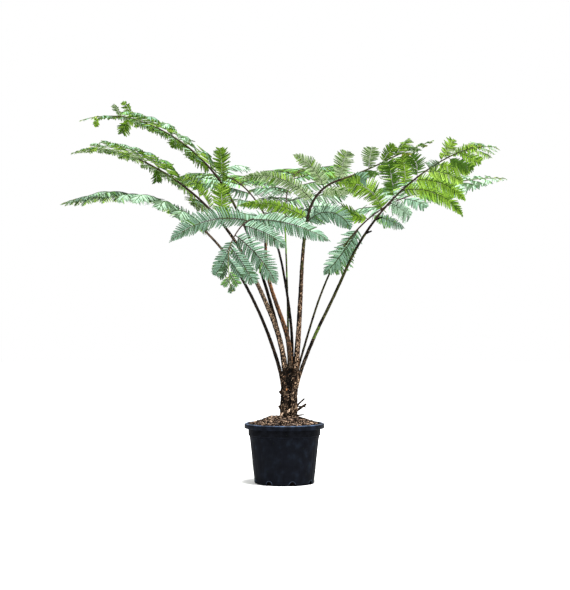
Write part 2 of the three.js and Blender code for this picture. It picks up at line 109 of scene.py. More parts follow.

# Fronds. Lists are values at even spacings: heading and lean from the fork to the blade's tip,
# roll, sag and angle from the blade's first pinnae to its tip.
#   stipe    length of the bare stalk above the fork, and blade that of the rest
#   thick    diameters at the fork and at the blade's first pinnae
#   foot     where the stipe leaves the trunk, at the fork's level
#   butt     where its base stands, at the soil
#   heading  the way it points in plan, degrees from +X towards +Y
#   lean     degrees from the vertical
#   roll     turn of the blade about its rachis, positive with the left side up
#   tilt     turn of each pinna about its own rib, positive with its front edge down
#   sag      how much the pinnae droop over their length
#   angle    between a pinna and the rachis
#   pinna    length of the longest, and first what the first ones have of it
#   pairs    how many pairs of pinnae
#   lift     how far a pinna starts out above the blade's plane
#   fade     how the pinnae shorten towards the tip, sooner for smaller values
#   skip     pinnae that are broken off, counted from the first
#   twist    turn of the leaflets about their own ribs, on the blade's left and right side
#   own      pinnae with a course of their own, told as they look from the front: length, angle
#            at the root and at the tip from +X towards +Z, slope away from the front, turn of
#            the upper side about the rib from facing the front, length of the leaflets, and
#            which leaf colour most of them have
#   torn     from where along the blade the pinnae are torn short, and the share that is left
#   pale     share of the leaflets with a pale upper side
#   fine     greatest spacing of the leaflets along a pinna
#   broad    breadth of the leaflets against their spacing
#   wild     how unevenly the leaflets lie
#   hook     least and greatest bend of a pinna's tip, downwards
#   bare     how far along the blade no leaflet hides the rachis from the eye
#   bark     colours of the stipe from its foot to the blade
#    edge     colour of the stipe's right edge, painted light on its lit side
#   specks   colour of its pale specks
#   scales   how many scales cling to the stipe
USUAL = dict(pairs=13, roll=[0, 0], tilt=0, lift=0.1, fade=1.55, skip=(), torn=(1, 1), broad=1.2,
             wild=1.5, hook=(0.2, 1.5), bare=0, edge="dark", specks="grey", scales=130, own={})
FRONDS = [dict(
    name="left_high", foot=(6, 16), butt=(2, 20), stipe=910, blade=810, thick=(18, 11),
    heading=[168, 172, 180, 192, 196], lean=[10, 16, 19, 29, 50, 73, 110], roll=[8, 2, 0, 0, 0],
    sag=[0.1, 0.2], angle=[80, 48, 42, 36], pinna=280, first=0.7, fade=1.7, twist=(-0.55, 0.4),
    torn=(0.76, 0.5), pale=0.2, fine=8, broad=1.35, hook=(1.4, 2.4), bare=0.68,
    bark=("dark", "black", "moss"), specks="brown",
    own={0: (165, 88, 96, -0.35, 180, 54, 0), 1: (190, 75, -38, 0.4, -50, 48, 1),
         14: (88, 112, 124, -0.7, 150, 30, 1), 15: (78, -130, -110, 0.2, 160, 44, 0),
         16: (62, 112, 126, -0.7, 150, 24, 2), 21: (45, -100, -80, 0.1, 160, 20, 0)}
), dict(
    name="left_middle", foot=(2, -8), butt=(4, -20), stipe=725, blade=855, thick=(27, 13),
    heading=[178, 184], lean=[6, 23, 26, 41, 55, 69, 110], roll=[10, 8, 7, 7, 7],
    sag=[0.05, 0.15], angle=[80, 48, 42, 36], pinna=280, first=0.6, pairs=14, lift=0.14,
    twist=(-0.55, 0.4), torn=(0.82, 0.75), pale=0.25, fine=8, hook=(1.4, 2.4), bare=0.6,
    bark=("brown", "grey", "dark"), edge="grey", specks="tan", scales=420,
    own={0: (190, 95, 88, -0.25, 180, 62, 0), 1: (150, 60, 20, 0.6, -150, 50, 0),
         2: (140, 110, 135, -0.5, 180, 46, 0), 4: (128, 88, 158, -0.7, 175, 46, 1),
         11: (60, -100, -95, 0.5, 160, 36, 3)}
), dict(
    name="left_low", foot=(-24, 2), butt=(-10, 2), stipe=745, blade=735, thick=(17, 11),
    heading=[182, 172], lean=[16, 23, 31, 46, 69, 92, 104], sag=[0.7, 0.6], angle=[78, 60, 45],
    pinna=310, first=0.55, lift=0.28, twist=(0.4, -0.4), pale=0.6, fine=9,
    bark=("black", "dark", "grey"), specks="brown",
    own={0: (190, 150, 140, -0.15, -20, 44, 1)}
), dict(
    name="front", foot=(25, -22), butt=(22, 0), stipe=850, blade=570, thick=(25, 8),
    heading=[185, 192, 268, 246, 254, 290], lean=[-4, 19, 22, 14, 92, 116, 130, 160], tilt=30,
    sag=[0.35, 2.4, 3.0], angle=[88, 56, 40], pinna=275, first=1.6, pairs=7, skip=(3,),
    twist=(0.1, 0.1), pale=0.35, fine=12, broad=1.08, wild=0.8, bark=("brown", "rust", "brown"),
    edge="amber", scales=380,
    own={0: (375, 2, -33, -0.12, -20, 58, 0), 1: (380, 166, 225, -0.12, -20, 60, 0),
         2: (225, -10, -44, -0.15, -10, 50, 0), 4: (286, -36, -63, -0.15, 0, 60, 0),
         5: (174, -112, -134, -0.1, 10, 40, 0), 6: (190, -50, -64, -0.1, 0, 48, 0),
         7: (125, -112, -124, -0.1, 0, 36, 0), 8: (95, -48, -60, -0.1, 0, 36, 0),
         9: (75, -112, -130, -0.1, 0, 28, 3), 10: (70, -48, -62, -0.1, 0, 28, 2),
         11: (50, -110, -128, -0.1, 0, 22, 2), 12: (36, -58, -70, -0.1, 0, 16, 3),
         13: (28, -92, -96, -0.1, 0, 14, 3)}
), dict(
    name="back_left", foot=(36, 10), butt=(34, 8), stipe=720, blade=760, thick=(15, 9),
    heading=[150, 142, 128, 118], lean=[-3, 8, 14, 34, 60, 88, 108], tilt=12, sag=[0.2, 0.4],
    angle=[82, 64, 45], pinna=330, first=0.6, pairs=12, twist=(-0.1, 0.2), pale=0.15, fine=11,
    wild=1.3, bark=("black", "black", "dark"), specks="brown", scales=110
), dict(
    name="back", foot=(22, 33), butt=(18, 27), stipe=680, blade=740, thick=(11, 7),
    heading=[160, 110, 70, 55], lean=[2, 1, 5, 16, 52, 88, 108], tilt=12, sag=[0.2, 0.4],
    angle=[82, 64, 45], pinna=320, first=0.6, pairs=12, twist=(0.1, 0.1), pale=0.15, fine=11,
    wild=1.3, bark=("dark", "moss", "green"), edge="green", specks="green", scales=80
), dict(
    name="right_inner", foot=(54, -10), butt=(42, -16), stipe=660, blade=780, thick=(28, 14),
    heading=[-60, -60, -45, -8, 10], lean=[10, 6, 5, 15, 74, 63, 71], roll=[-24, -18],
    sag=[0.3, 0.2, 0.2], angle=[84, 64, 48], pinna=310, first=1.25, pairs=12, twist=(0.25, -0.3),
    torn=(0.8, 0.5), pale=0.3, fine=8.5, broad=1.35, wild=1.0, bark=("brown", "brown", "moss"),
    edge="rust", specks="tan", scales=460,
    own={0: (262, 62, -76, -0.25, -15, 62, 0), 1: (340, 145, 195, -0.3, 150, 40, 0),
         2: (180, 10, -35, 0.3, -40, 44, 1), 3: (381, 128, 200, -0.25, 160, 42, 2),
         4: (150, 15, -10, 0.6, -140, 38, 2), 5: (216, 105, 162, -0.25, 180, 44, 2),
         6: (120, 12, 0, 0.8, -150, 36, 0), 7: (135, 80, 66, -0.6, 180, 58, 2),
         8: (70, 20, -20, 2.5, -120, 40, 3), 9: (60, -20, -60, -2.5, 30, 40, 0),
         10: (70, 10, -20, 2.5, -120, 38, 3), 11: (96, 86, 78, -0.7, 180, 54, 2),
         12: (70, 0, -20, 2.2, -120, 34, 0), 13: (95, 60, 45, -0.5, 170, 40, 0)}
), dict(
    name="right_low", foot=(66, 14), butt=(42, 14), stipe=690, blade=890, thick=(11, 8),
    heading=[14, 20], lean=[16, 18, 27, 49, 73, 76, 93], roll=[12, 25], sag=[0.9, 0.3, 0.3, 0.3],
    angle=[150, 80, 60, 45], pinna=310, first=0.7, twist=(-0.1, 0.3), torn=(0.66, 0.6), pale=0.5,
    fine=10, broad=1.4, wild=2.0, bark=("dark", "moss", "moss"), edge="moss", scales=80,
    own={0: (215, -112, -124, 0.1, 30, 60, 2), 1: (282, -120, -134, -0.25, 5, 62, 0),
         2: (130, 168, 140, 1.1, 150, 52, 0), 3: (95, -10, -50, -1.5, -30, 44, 2),
         5: (110, -5, -45, -1.4, -30, 44, 1), 7: (120, -8, -40, -1.3, -30, 44, 0),
         9: (130, -5, -35, -1.2, -30, 42, 2), 11: (110, 0, -35, -1, -30, 38, 1),
         13: (90, -5, -35, -0.8, -30, 34, 1)}
), dict(
    name="right_high", foot=(83, -2), butt=(48, -2), stipe=790, blade=770, thick=(17, 11),
    heading=[-8, -22, -42, -46], lean=[20, 27, 25, 41, 58, 71, 98], roll=[-22, -20],
    sag=[0.2, 0.5], angle=[76, 55, 42], pinna=340, first=0.8, pairs=12, fade=1.0,
    twist=(0.25, -0.3), pale=0.2, fine=7, broad=1.4, wild=1.4, bark=("dark", "moss", "dark"),
    edge="brown",
    own={0: (140, -15, -30, 0.5, -20, 36, 0), 1: (218, 97, 185, -0.5, 170, 74, 0),
         2: (120, -20, -45, 0.6, -15, 52, 1), 3: (170, 90, 112, -0.55, 180, 70, 3),
         4: (330, 14, -58, 0.1, -165, 48, 0), 5: (138, 88, 108, -0.6, 180, 62, 0),
         6: (270, 10, -50, 0.15, -165, 48, 0), 7: (105, 78, 140, -0.7, 180, 58, 3),
         8: (190, 8, -40, 0.2, -165, 44, 1), 9: (40, 40, 20, -4, 180, 36, 3),
         10: (155, -8, -12, 0.3, -160, 42, 0), 11: (110, 58, 66, -0.6, 180, 42, 1),
         12: (128, -30, -5, 0.4, -160, 38, 3), 13: (90, 28, 8, -0.9, 175, 30, 0),
         14: (110, -25, -10, 0.4, -160, 34, 0), 15: (80, 20, 0, -0.9, 175, 26, 1)}
)]
STEP = 10                    # length of a step along a frond's line
TIP_RADIUS = 1.5             # of a rachis at its tip
SHINGLE = 7                  # degrees more of tilt, so that neighbours overlap like tiles
PAIR_AT = {1: 0.25, -1: 0.55}    # place of the left and right pinna in their pair's stretch
PAIRS_CLOSE = 0.4            # how much closer the pairs stand towards the tip
PINNA_PEAK = 0.28            # where along the blade the longest pinnae stand
PINNA_DROP = 0.93            # how much shorter the last one is
PINNA_SHORTER = [1, 0.8, 0.6, 0.4]    # lengths to try, against the planned one
PINNA_ROOM = 14              # least distance of a pinna's rib to another frond's stalk
HOOK_FROM = 0.62             # where along a pinna its tip begins to bend
RIB_STEP = 11                # length of a step along a pinna's rib
RIB_SLENDER = 0.0085         # radius of a rib against its length
RIB_RADII = (0.9, 2.4)       # least and greatest
LEAFLET_ROOM = 3             # least distance of a leaflet to a stalk
BARE_ROOM = 1.5              # least distance to a bare rachis, as seen from the eye

# Leaflets
LEAFLET_REACH = 0.95         # of the longest, against the spacing of the pinnae
LEAFLET_START = 13           # from the rachis to the first
LEAFLET_FOLD = 0.5           # how far its margins hang below its midrib
LEAFLET_POINT = 0.34         # smaller for a blunter tip
LEAFLET_BAY = 0.55           # breadth at the bays between its lobes
LEAFLET_GROWTH = (0.62, 2.0)    # size of the first on a pinna, and how fast they grow
LEAFLET_WANE = (0.52, 2.2)   # where along a pinna they begin to shrink, and how slowly
LEAFLET_LEAST = 0.16         # size of the smallest, against the longest
SPLAY_AT = [0, 0.6, 1]
SPLAY = [74, 64, 40]         # degrees between leaflet and rib along a pinna
PADDLE_SPLAY = [74, 64, 56]    # and on broad short pinnae
PADDLE_AT = [0, 0.3, 0.6, 0.85, 1]
PADDLE_REACH = [0.4, 0.75, 1, 0.85, 0.35]    # of their leaflets
PADDLE_BROADER = 1.2
LEAFLET_THICKNESS = 0.35
OTHER_TINT = 0.42            # share of the leaflets that don't take their pinna's colour
LEAF_SHADE_SHARE = 0.6                 # share of the leaflets with their lower half in a deeper colour, as painted shade
LEAF_SHADE_TINT = 3                # which of the leaf colours paints that shade
MARKED = 0.65                # share of a pinna's own colour in its leaflets' mix
YELLOW_FROM = 0.8            # where along the blade the leaves turn yellower
TOP_SHARES = np.array([0.44, 0, 0.26, 0.3, 0])    # of the leaf colours, in their order
UNDER_SHARES = np.array([0.38, 0.32, 0.16, 0.14, 0.0])
TIP_UNDER_SHARES = np.array([0.25, 0.3, 0.15, 0.1, 0.2])

# Lumps of each surface: height, size, seed and stretch along Z
TRUNK_LUMPS = [(0.9, 8, 21, 0.4), (1.7, 4, 22, 0.75), (0.8, 26, 23, 1)]
STIPE_LUMPS = [(0.9, 6, 3, 0.45), (0.5, 3, 4, 0.5)]
RACHIS_LUMPS = [(0.35, 7, 9, 0.5)]
STUB_LUMPS = [(0.5, 4, 42, 1)]
STIPE_STUB_LUMPS = [(0.8, 5, 43, 1)]
SOIL_LUMPS = [(3.0, 16, 51, 1), (2.2, 7, 52, 1)]
SOIL_CRUMBS = [(1.2, 3.5, 53, 1)]
SOIL_PATCHES = [(1, 9, 54, 1), (0.6, 4, 55, 1)]

# Camera and lamp, in metres
EYE = (0.003, -7.5, 0.892)
LENS = 96.47
LAMP = {"place": (0.7, -1.2, 5.6), "aim": (0, 0, 0.9), "size": 2.0, "power": 900}


# Small tools

def srgb(red, green, blue):
    """Scene colour of a screen colour from 0 to 255."""
    screen = np.array([red, green, blue]) / 255
    return tuple(float(v) for v in np.where(screen <= 0.04045, screen / 12.92,
                                            ((screen + 0.055) / 1.055) ** 2.4))


def unit(vectors):
    return vectors / np.linalg.norm(vectors, axis=-1, keepdims=True)


def spread(values, t):
    """Value at t from 0 to 1 in a list of evenly spaced values."""
    return np.interp(t, np.linspace(0, 1, len(values)), values)


def square_to(axis, vector):
    """Unit vector at right angles to an axis, nearest to a given one."""
    return unit(vector - axis * axis.dot(vector))


def turned(vector, aside, angle):
    """Vector turned by an angle towards one at right angles to it."""
    return vector * math.cos(angle) + aside * math.sin(angle)


def between(x, places, values):
    """Vectors at x, from those that stand at some places along a line."""
    return np.stack([np.interp(x, places, values[:, k]) for k in range(3)], axis=-1)


def ring_angles(sides):
    return 2 * np.pi * np.arange(sides) / sides


def polar(radius, angle, height):
    """Points at a distance from the pot's axis and a height."""
    x, y = radius * np.cos(angle), radius * np.sin(angle)
    return np.stack([x, y, np.broadcast_to(height, x.shape)], axis=-1)


def lattice(cells, seed):
    """Random number from 0 to 1 for each cell of a lattice."""
    mixed = (cells[..., 0] * 374761393 + cells[..., 1] * 668265263
             + cells[..., 2] * 1442695041 + seed * 974711) & 0xFFFFFFFF
    mixed = ((mixed ^ (mixed >> 13)) * 1274126177) & 0xFFFFFFFF
    return ((mixed ^ (mixed >> 16)) & 0xFFFF) / 65535


def noise(points, size, seed=0):
    """Smooth random field from -1 to 1, with lumps of a given size."""
    scaled = np.asarray(points, float) / size
    cells = np.floor(scaled).astype(np.int64)
    part = scaled - cells
    part = part * part * (3 - 2 * part)
    total = 0
    for corner in np.ndindex(2, 2, 2):
        weight = np.prod(np.where(corner, part, 1 - part), axis=-1)
        total = total + weight * lattice(cells + np.array(corner), seed)
    return 2 * total - 1


def lumps(points, fields):
    """Sum of some noise fields."""
    return sum(height * noise(points * (1, 1, stretch), size, seed)
               for height, size, seed, stretch in fields)


def frames(points):
    """Two steady cross directions along a line."""
    directions = unit(np.gradient(points, axis=0))
    across = np.empty_like(directions)
    last = np.cross((0.0, 0.0, 1.0), directions[0])
    if np.linalg.norm(last) < 0.05:
        last = np.cross((0.0, 1.0, 0.0), directions[0])
    for i, direction in enumerate(directions):
        last = last - direction * last.dot(direction)
        last = last / np.linalg.norm(last)
        across[i] = last
    return across, np.cross(directions, across)


def read(items, name, width=1, kind=np.float32):
    """A number or a vector for each item of a mesh, in one array."""
    values = np.empty(len(items) * width, kind)
    items.foreach_get(name, values)
    return values if width == 1 else values.reshape(-1, width).astype(float)


def add_object(name, data):
    body = bpy.data.objects.new(name, data)
    bpy.context.scene.collection.objects.link(body)
    return body


class Piece:
    """Points and faces gathered for one joined mesh."""

    def __init__(self):
        self.points = []
        self.faces = []
        self.tints = []
        self.count = 0

    def add(self, points, faces, tints=0):
        points = np.asarray(points, float).reshape(-1, 3)
        self.join(faces + self.count, tints)
        self.points.append(points)
        self.count += len(points)

    def join(self, faces, tints=0):
        """Adds faces over points that are already there."""
        self.faces.append(faces)
        self.tints.append(np.broadcast_to(tints, len(faces)).astype(np.int32))

    def repeat(self, points, faces, tints):
        """Adds the same faces over each group of points."""
        offsets = np.arange(len(points))[:, None, None] * points.shape[1]
        self.add(points, (faces + offsets).reshape(-1, faces.shape[1]), tints)

    def wall(self, rings, sides, outwards=True, tints=0):
        """Faces between rings of points, closed by a flat face at both ends."""
        first = self.count
        faces, ends = wall_faces(rings.shape[0], sides), np.arange(sides)[None]
        if not outwards:
            faces, ends = faces[:, [0, 3, 2, 1]], ends[:, ::-1]
        self.add(rings, faces, tints)
        self.join(ends[:, ::-1] + first)
        self.join(ends + self.count - sides)

    def make(self, name, materials, smooth=True):
        """Blender object of everything gathered."""
        points = np.concatenate(self.points) * MM
        sizes = np.concatenate([np.full(len(f), f.shape[1]) for f in self.faces])
        corners = np.concatenate([f.ravel() for f in self.faces])
        mesh = bpy.data.meshes.new(name)
        mesh.vertices.add(len(points))
        mesh.vertices.foreach_set("co", points.ravel().astype(np.float32))
        mesh.loops.add(len(corners))
        mesh.loops.foreach_set("vertex_index", corners.astype(np.int32))
        mesh.polygons.add(len(sizes))
        starts = np.concatenate([[0], np.cumsum(sizes)[:-1]])
        mesh.polygons.foreach_set("loop_start", starts.astype(np.int32))
        mesh.polygons.foreach_set("material_index", np.concatenate(self.tints))
        mesh.polygons.foreach_set("use_smooth", np.full(len(sizes), smooth))
        mesh.update(calc_edges=True)
        for material in materials:
            mesh.materials.append(material)
        return add_object(name, mesh)


def place(body, node):
    """Puts a finished piece in place of a solid."""
    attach(body, "root")
    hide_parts(node)


def wall_faces(rings, sides):
    """Four-sided faces between rings of points."""
    ring, side = np.meshgrid(np.arange(rings - 1), np.arange(sides), indexing="ij")
    a = (ring * sides + side).ravel()
    b = (ring * sides + (side + 1) % sides).ravel()
    return np.stack([a, b, b + sides, a + sides], axis=1)


def add_tube(piece, points, radii, sides, tints=0, relief=None):
    """Tube round a line, closed by fans. Tints: one, one for each ring span, or a rule."""
    across, up = frames(points)
    angles = ring_angles(sides)[None, :, None]
    outwards = across[:, None] * np.cos(angles) + up[:, None] * np.sin(angles)
    rings = points[:, None] + outwards * np.broadcast_to(radii, len(points))[:, None, None]
    if relief:
        rings = rings + outwards * relief(rings)[..., None]
    if callable(tints):
        tints = tints(rings[:-1], outwards[:-1]).ravel()
    elif np.ndim(tints):
        tints = np.repeat(tints, sides)
    piece.add(np.concatenate([rings.reshape(-1, 3), points[:1], points[-1:]]),
              wall_faces(len(points), sides), tints)
    side = np.arange(sides)
    after = (side + 1) % sides
    foot = np.full(sides, len(points) * sides)
    last = (len(points) - 1) * sides
    fans = np.concatenate([np.stack([foot, after, side], axis=1),
                           np.stack([foot + 1, last + side, last + after], axis=1)])
    piece.join(fans + piece.count - len(points) * sides - 2, np.ravel(tints)[0])
    return rings, outwards


# Materials

def surface(name, color, roughness, specular=0.3):
    """Material with a plain colour. The pattern nodes are added to it."""
    material = bpy.data.materials.new(name)
    material.use_nodes = True
    shader = material.node_tree.nodes["Principled BSDF"]
    shader.inputs["Base Color"].default_value = (*color, 1)
    shader.inputs["Roughness"].default_value = roughness
    shader.inputs["Specular IOR Level"].default_value = specular
    return material


def field(material, size, stretch=(1, 1, 1), detail=3.0):
    """Noise node with lumps of a given size in millimetres."""
    nodes, links = material.node_tree.nodes, material.node_tree.links
    spot = nodes.new("ShaderNodeTexCoord")
    mapping = nodes.new("ShaderNodeMapping")
    mapping.inputs["Scale"].default_value = stretch
    pattern = nodes.new("ShaderNodeTexNoise")
    pattern.inputs["Scale"].default_value = 1 / (size * MM)
    pattern.inputs["Detail"].default_value = detail
    links.new(spot.outputs["Object"], mapping.inputs["Vector"])
    links.new(mapping.outputs["Vector"], pattern.inputs["Vector"])
    return pattern


def mottle(material, colors, size, stretch=(1, 1, 1), detail=3.0, low=0.35, high=0.65):
    """Base colour that drifts between two or more colours."""
    nodes, links = material.node_tree.nodes, material.node_tree.links
    pattern = field(material, size, stretch, detail)
    ramp = nodes.new("ShaderNodeValToRGB")
    marks = ramp.color_ramp.elements
    while len(marks) < len(colors):
        marks.new(0.5)
    for i, color in enumerate(colors):
        marks[i].position = low + (high - low) * i / (len(colors) - 1)
        marks[i].color = (*color, 1)
    links.new(pattern.outputs["Fac"], ramp.inputs["Fac"])
    links.new(ramp.outputs["Color"], nodes["Principled BSDF"].inputs["Base Color"])
    return material


def grain(material, size, depth, strength=1.0, stretch=(1, 1, 1), detail=3.0):
    """Fine relief of a given lump size and depth in millimetres."""
    nodes, links = material.node_tree.nodes, material.node_tree.links
    pattern = field(material, size, stretch, detail)
    bump = nodes.new("ShaderNodeBump")
    bump.inputs["Strength"].default_value = strength
    bump.inputs["Distance"].default_value = depth * MM
    links.new(pattern.outputs["Fac"], bump.inputs["Height"])
    links.new(bump.outputs["Normal"], nodes["Principled BSDF"].inputs["Normal"])
    return material


def tinted(name, color, roughness, size, change, specular=0.3, depth=0.3, stretch=(1, 1, 1)):
    """Colour that drifts a little to both sides of its middle, with a fine grain."""
    material = surface(name, color, roughness, specular)
    dim = tuple(c * (1 - change) for c in color)
    bright = tuple(c * (1 + change) for c in color)
    mottle(material, [dim, color, bright], size, stretch)
    return grain(material, size / 3, depth, stretch=stretch)


def palette(kind, colors, roughness, size, **rest):
    """Materials of one kind, from names with a colour and how far it drifts."""
    return [tinted(f"{kind}_{name}", srgb(*color), roughness, size, change, **rest)
            for name, (*color, change) in colors.items()]


LEAF_TOPS = palette("leaf_top", {
    "blue": (89, 118, 97, 0.12), "pale": (122, 148, 124, 0.12), "green": (78, 117, 52, 0.12),
    "deep": (40, 67, 34, 0.14)}, 0.55, 9, specular=0.2)
LEAF_TOPS += palette("leaf_top", {"yellow": (108, 118, 50, 0.14)}, 0.6, 9, specular=0.2)
LEAF_UNDERS = palette("leaf_under", {
    "green": (110, 145, 42, 0.12), "fresh": (136, 170, 66, 0.12), "grey": (134, 152, 112, 0.12),
    "deep": (54, 86, 18, 0.14), "yellow": (142, 142, 58, 0.14)}, 0.7, 9, specular=0.1)
LEAF_MATERIALS = LEAF_TOPS + LEAF_UNDERS
RIB_MATERIALS = palette("rib", {
    "brown": (34, 25, 16, 0.2), "olive": (50, 50, 24, 0.2), "green": (72, 90, 42, 0.15)},
    0.7, 6, specular=0.1)
BARK_COLORS = {
    "black": (7, 6, 5, 0.35), "dark": (22, 17, 13, 0.35), "brown": (46, 34, 25, 0.35),
    "grey": (72, 61, 50, 0.35), "tan": (160, 134, 110, 0.35), "rust": (80, 52, 32, 0.35),
    "pale": (206, 178, 152, 0.35), "amber": (142, 100, 66, 0.35),
    "lichen": (64, 80, 32, 0.35), "moss": (46, 48, 24, 0.35), "green": (74, 104, 34, 0.35),
}
BARK_MATERIALS = palette("bark", BARK_COLORS, 0.95, 5, specular=0.04, depth=0.8,
                         stretch=(1, 1, 0.4))
BARK = {name: number for number, name in enumerate(BARK_COLORS)}
CHIP_MATERIALS = palette("chip", {
    "dark": (17, 12, 9, 0.3), "brown": (52, 38, 30, 0.3), "tan": (156, 131, 110, 0.2),
    "grey": (100, 86, 77, 0.2)}, 0.95, 4, specular=0.04, depth=0.6)


def bark(names):
    """Numbers of some bark colours."""
    return np.array([BARK[name] for name in names])


# Fronds

class Frond:
    """Line of a frond from the fork to its tip, with its stalk's radii."""

    def __init__(self, facts):
        self.facts = facts = {**USUAL, **facts}
        self.name = facts["name"]
        self.thick = facts["thick"][0] > THICK_STIPE
        self.length = facts["stipe"] + facts["blade"]
        count = round(self.length / STEP)
        step = self.length / count
        t = (np.arange(count) + 0.5) / count
        lean = np.radians(spread(facts["lean"], t))
        heading = np.radians(spread(facts["heading"], t))
        steps = np.stack([np.sin(lean) * np.cos(heading), np.sin(lean) * np.sin(heading),
                          np.cos(lean)], axis=1)
        foot = np.array([*facts["foot"], TRUNK["fork"]], float)
        self.directions = np.vstack([steps, steps[-1:]])
        self.points = np.vstack([foot, foot + np.cumsum(steps * step, axis=0)])
        self.distances = np.arange(count + 1) * step
        self.limb = self.points, self.radius(self.distances)

    def radius(self, distance):
        """Radius of the stipe or of the rachis at a distance from the fork."""
        base, top = (d / 2 for d in self.facts["thick"])
        return np.interp(distance, [0, self.facts["stipe"], self.length],
                         [base, top, TIP_RADIUS])

    def at(self, distance):
        """Point and direction at a distance from the fork."""
        return (between(distance, self.distances, self.points),
                unit(between(distance, self.distances, self.directions)))

    def span(self, start, end, spacing):
        """Distances from start to end, about a spacing apart."""
        return np.linspace(start, end, max(2, round((end - start) / spacing)) + 1)


def envelope(u, first, fade):
    """Share of the longest pinna's length at u from 0 to 1 along a blade."""
    if u < PINNA_PEAK:
        return first + (1 - first) * math.sin(math.pi / 2 * u / PINNA_PEAK)
    return 1 - PINNA_DROP * ((u - PINNA_PEAK) / (1 - PINNA_PEAK)) ** fade


def pinna_plan(frond):
    """Roots, directions and lengths of a blade's pinnae, in pairs that close up to the tip."""
    facts = frond.facts
    plan = []
    for pair in range(facts["pairs"]):
        for side in (1, -1):
            t = (pair + PAIR_AT[side]) / facts["pairs"]
            u = 1 - (1 - t) ** (1 + PAIRS_CLOSE)
            distance = facts["stipe"] + u * facts["blade"]
            root, direction = frond.at(distance)
            heading = math.radians(spread(facts["heading"], distance / frond.length))
            left = square_to(direction, np.array([-math.sin(heading), math.cos(heading), 0.0]))
            roll = math.radians(spread(facts["roll"], u))
            up = np.cross(direction, left)
            left, up = turned(left, up, roll), turned(up, -left, roll)
            angle = math.radians(spread(facts["angle"], u))
            whole = facts["torn"][1] if u > facts["torn"][0] else 1
            outwards = unit(turned(direction, left * side, angle) + up * facts["lift"])
            up = turned(up, square_to(outwards, direction),
                        math.radians(facts["tilt"] + SHINGLE))
            pinna = {
                "root": root, "u": u, "outwards": outwards, "up": up, "whole": whole,
                "length": facts["pinna"] * envelope(u, facts["first"], facts["fade"]) * whole,
                "sag": float(spread(facts["sag"], u)),
                "twist": facts["twist"][0 if side > 0 else 1],
                "spacing": (1 + PAIRS_CLOSE) * (1 - t) ** PAIRS_CLOSE * facts["blade"]
                / facts["pairs"] * math.sin(angle),
                "rachis_radius": float(frond.radius(distance)),
                **{key: facts[key] for key in ("pale", "fine", "broad", "wild", "hook")},
            }
            if len(plan) in facts["own"]:
                pinna.update(own_course(*facts["own"][len(plan)]))
            plan.append(pinna)
    return [pinna for i, pinna in enumerate(plan) if i not in facts["skip"]]


def own_course(span, start, end, depth, turn, leaflet, tint):
    """Course and attitude of a pinna that doesn't follow its blade's rule."""
    middle = math.radians((start + end) / 2)
    rib = unit(np.array([math.cos(middle), depth, math.sin(middle)]))
    front = square_to(rib, np.array([0.0, -1.0, 0.0]))
    return {"course": (start, end, depth), "length": span * math.hypot(1, depth),
            "up": turned(front, np.cross(rib, front), math.radians(turn)),
            "leaflet": leaflet, "tint": tint, "twist": 0.1}


def pinna_line(pinna, scale):
    """Points along a pinna's rib, which droops more and more towards its tip."""
    length = pinna["length"] * scale
    count = max(4, round(length / RIB_STEP))
    t = (np.arange(count) + 0.5) / count
    hook = pinna["hook"] * np.maximum(0, t - HOOK_FROM)
    if "course" in pinna:
        start, end, depth = pinna["course"]
        angles = np.radians(start + (end - start) * t)
        directions = np.stack([np.cos(angles), np.full(count, depth), np.sin(angles)], axis=1)
    else:
        directions = pinna["outwards"] - np.outer(pinna["sag"] * t + hook, (0, 0, 1))
    steps = unit(directions) * length / count
    return np.vstack([pinna["root"], pinna["root"] + np.cumsum(steps, axis=0)])


def room(points, limbs):
    """Least distance of each point to the skins of some limbs, given by points and radii."""
    centres, radii = (np.concatenate(parts) for parts in zip(*limbs))
    nearest = [np.min(np.linalg.norm(part[:, None] - centres[None], axis=2) - radii, axis=1)
               for part in np.array_split(points, max(1, len(points) // 2000))]
    return np.concatenate(nearest)


def leaf_points(leaflets, share):
    """Point of each leaflet at a share of its length."""
    return np.array([leaf[0] + leaf[1] * leaf[4] * share for leaf in leaflets])


def beside_rachis(leaflets, frond):
    """Whether each leaflet leaves the bare part of its rachis in sight from the eye."""
    start = frond.facts["stipe"]
    distances = frond.span(start, start + frond.facts["blade"] * frond.facts["bare"], STEP)
    centres, _ = frond.at(distances)
    radii = frond.radius(distances)
    eye = np.array(EYE) / MM
    sights = (centres - eye) / (centres[:, 1:2] - eye[1])
    beside = np.ones(len(leaflets), bool)
    for share in (0, 0.25, 0.5, 0.75, 1):
        points = leaf_points(leaflets, share)
        depths = points[:, 1:2] - eye[1]
        gaps = points[:, None] - (eye + sights * depths[:, None])
        apart = np.hypot(gaps[..., 0], gaps[..., 2]) - radii
        hides = (apart < BARE_ROOM) & (points[:, 1:2] < centres[:, 1])
        beside &= ~hides.any(axis=1)
    return beside


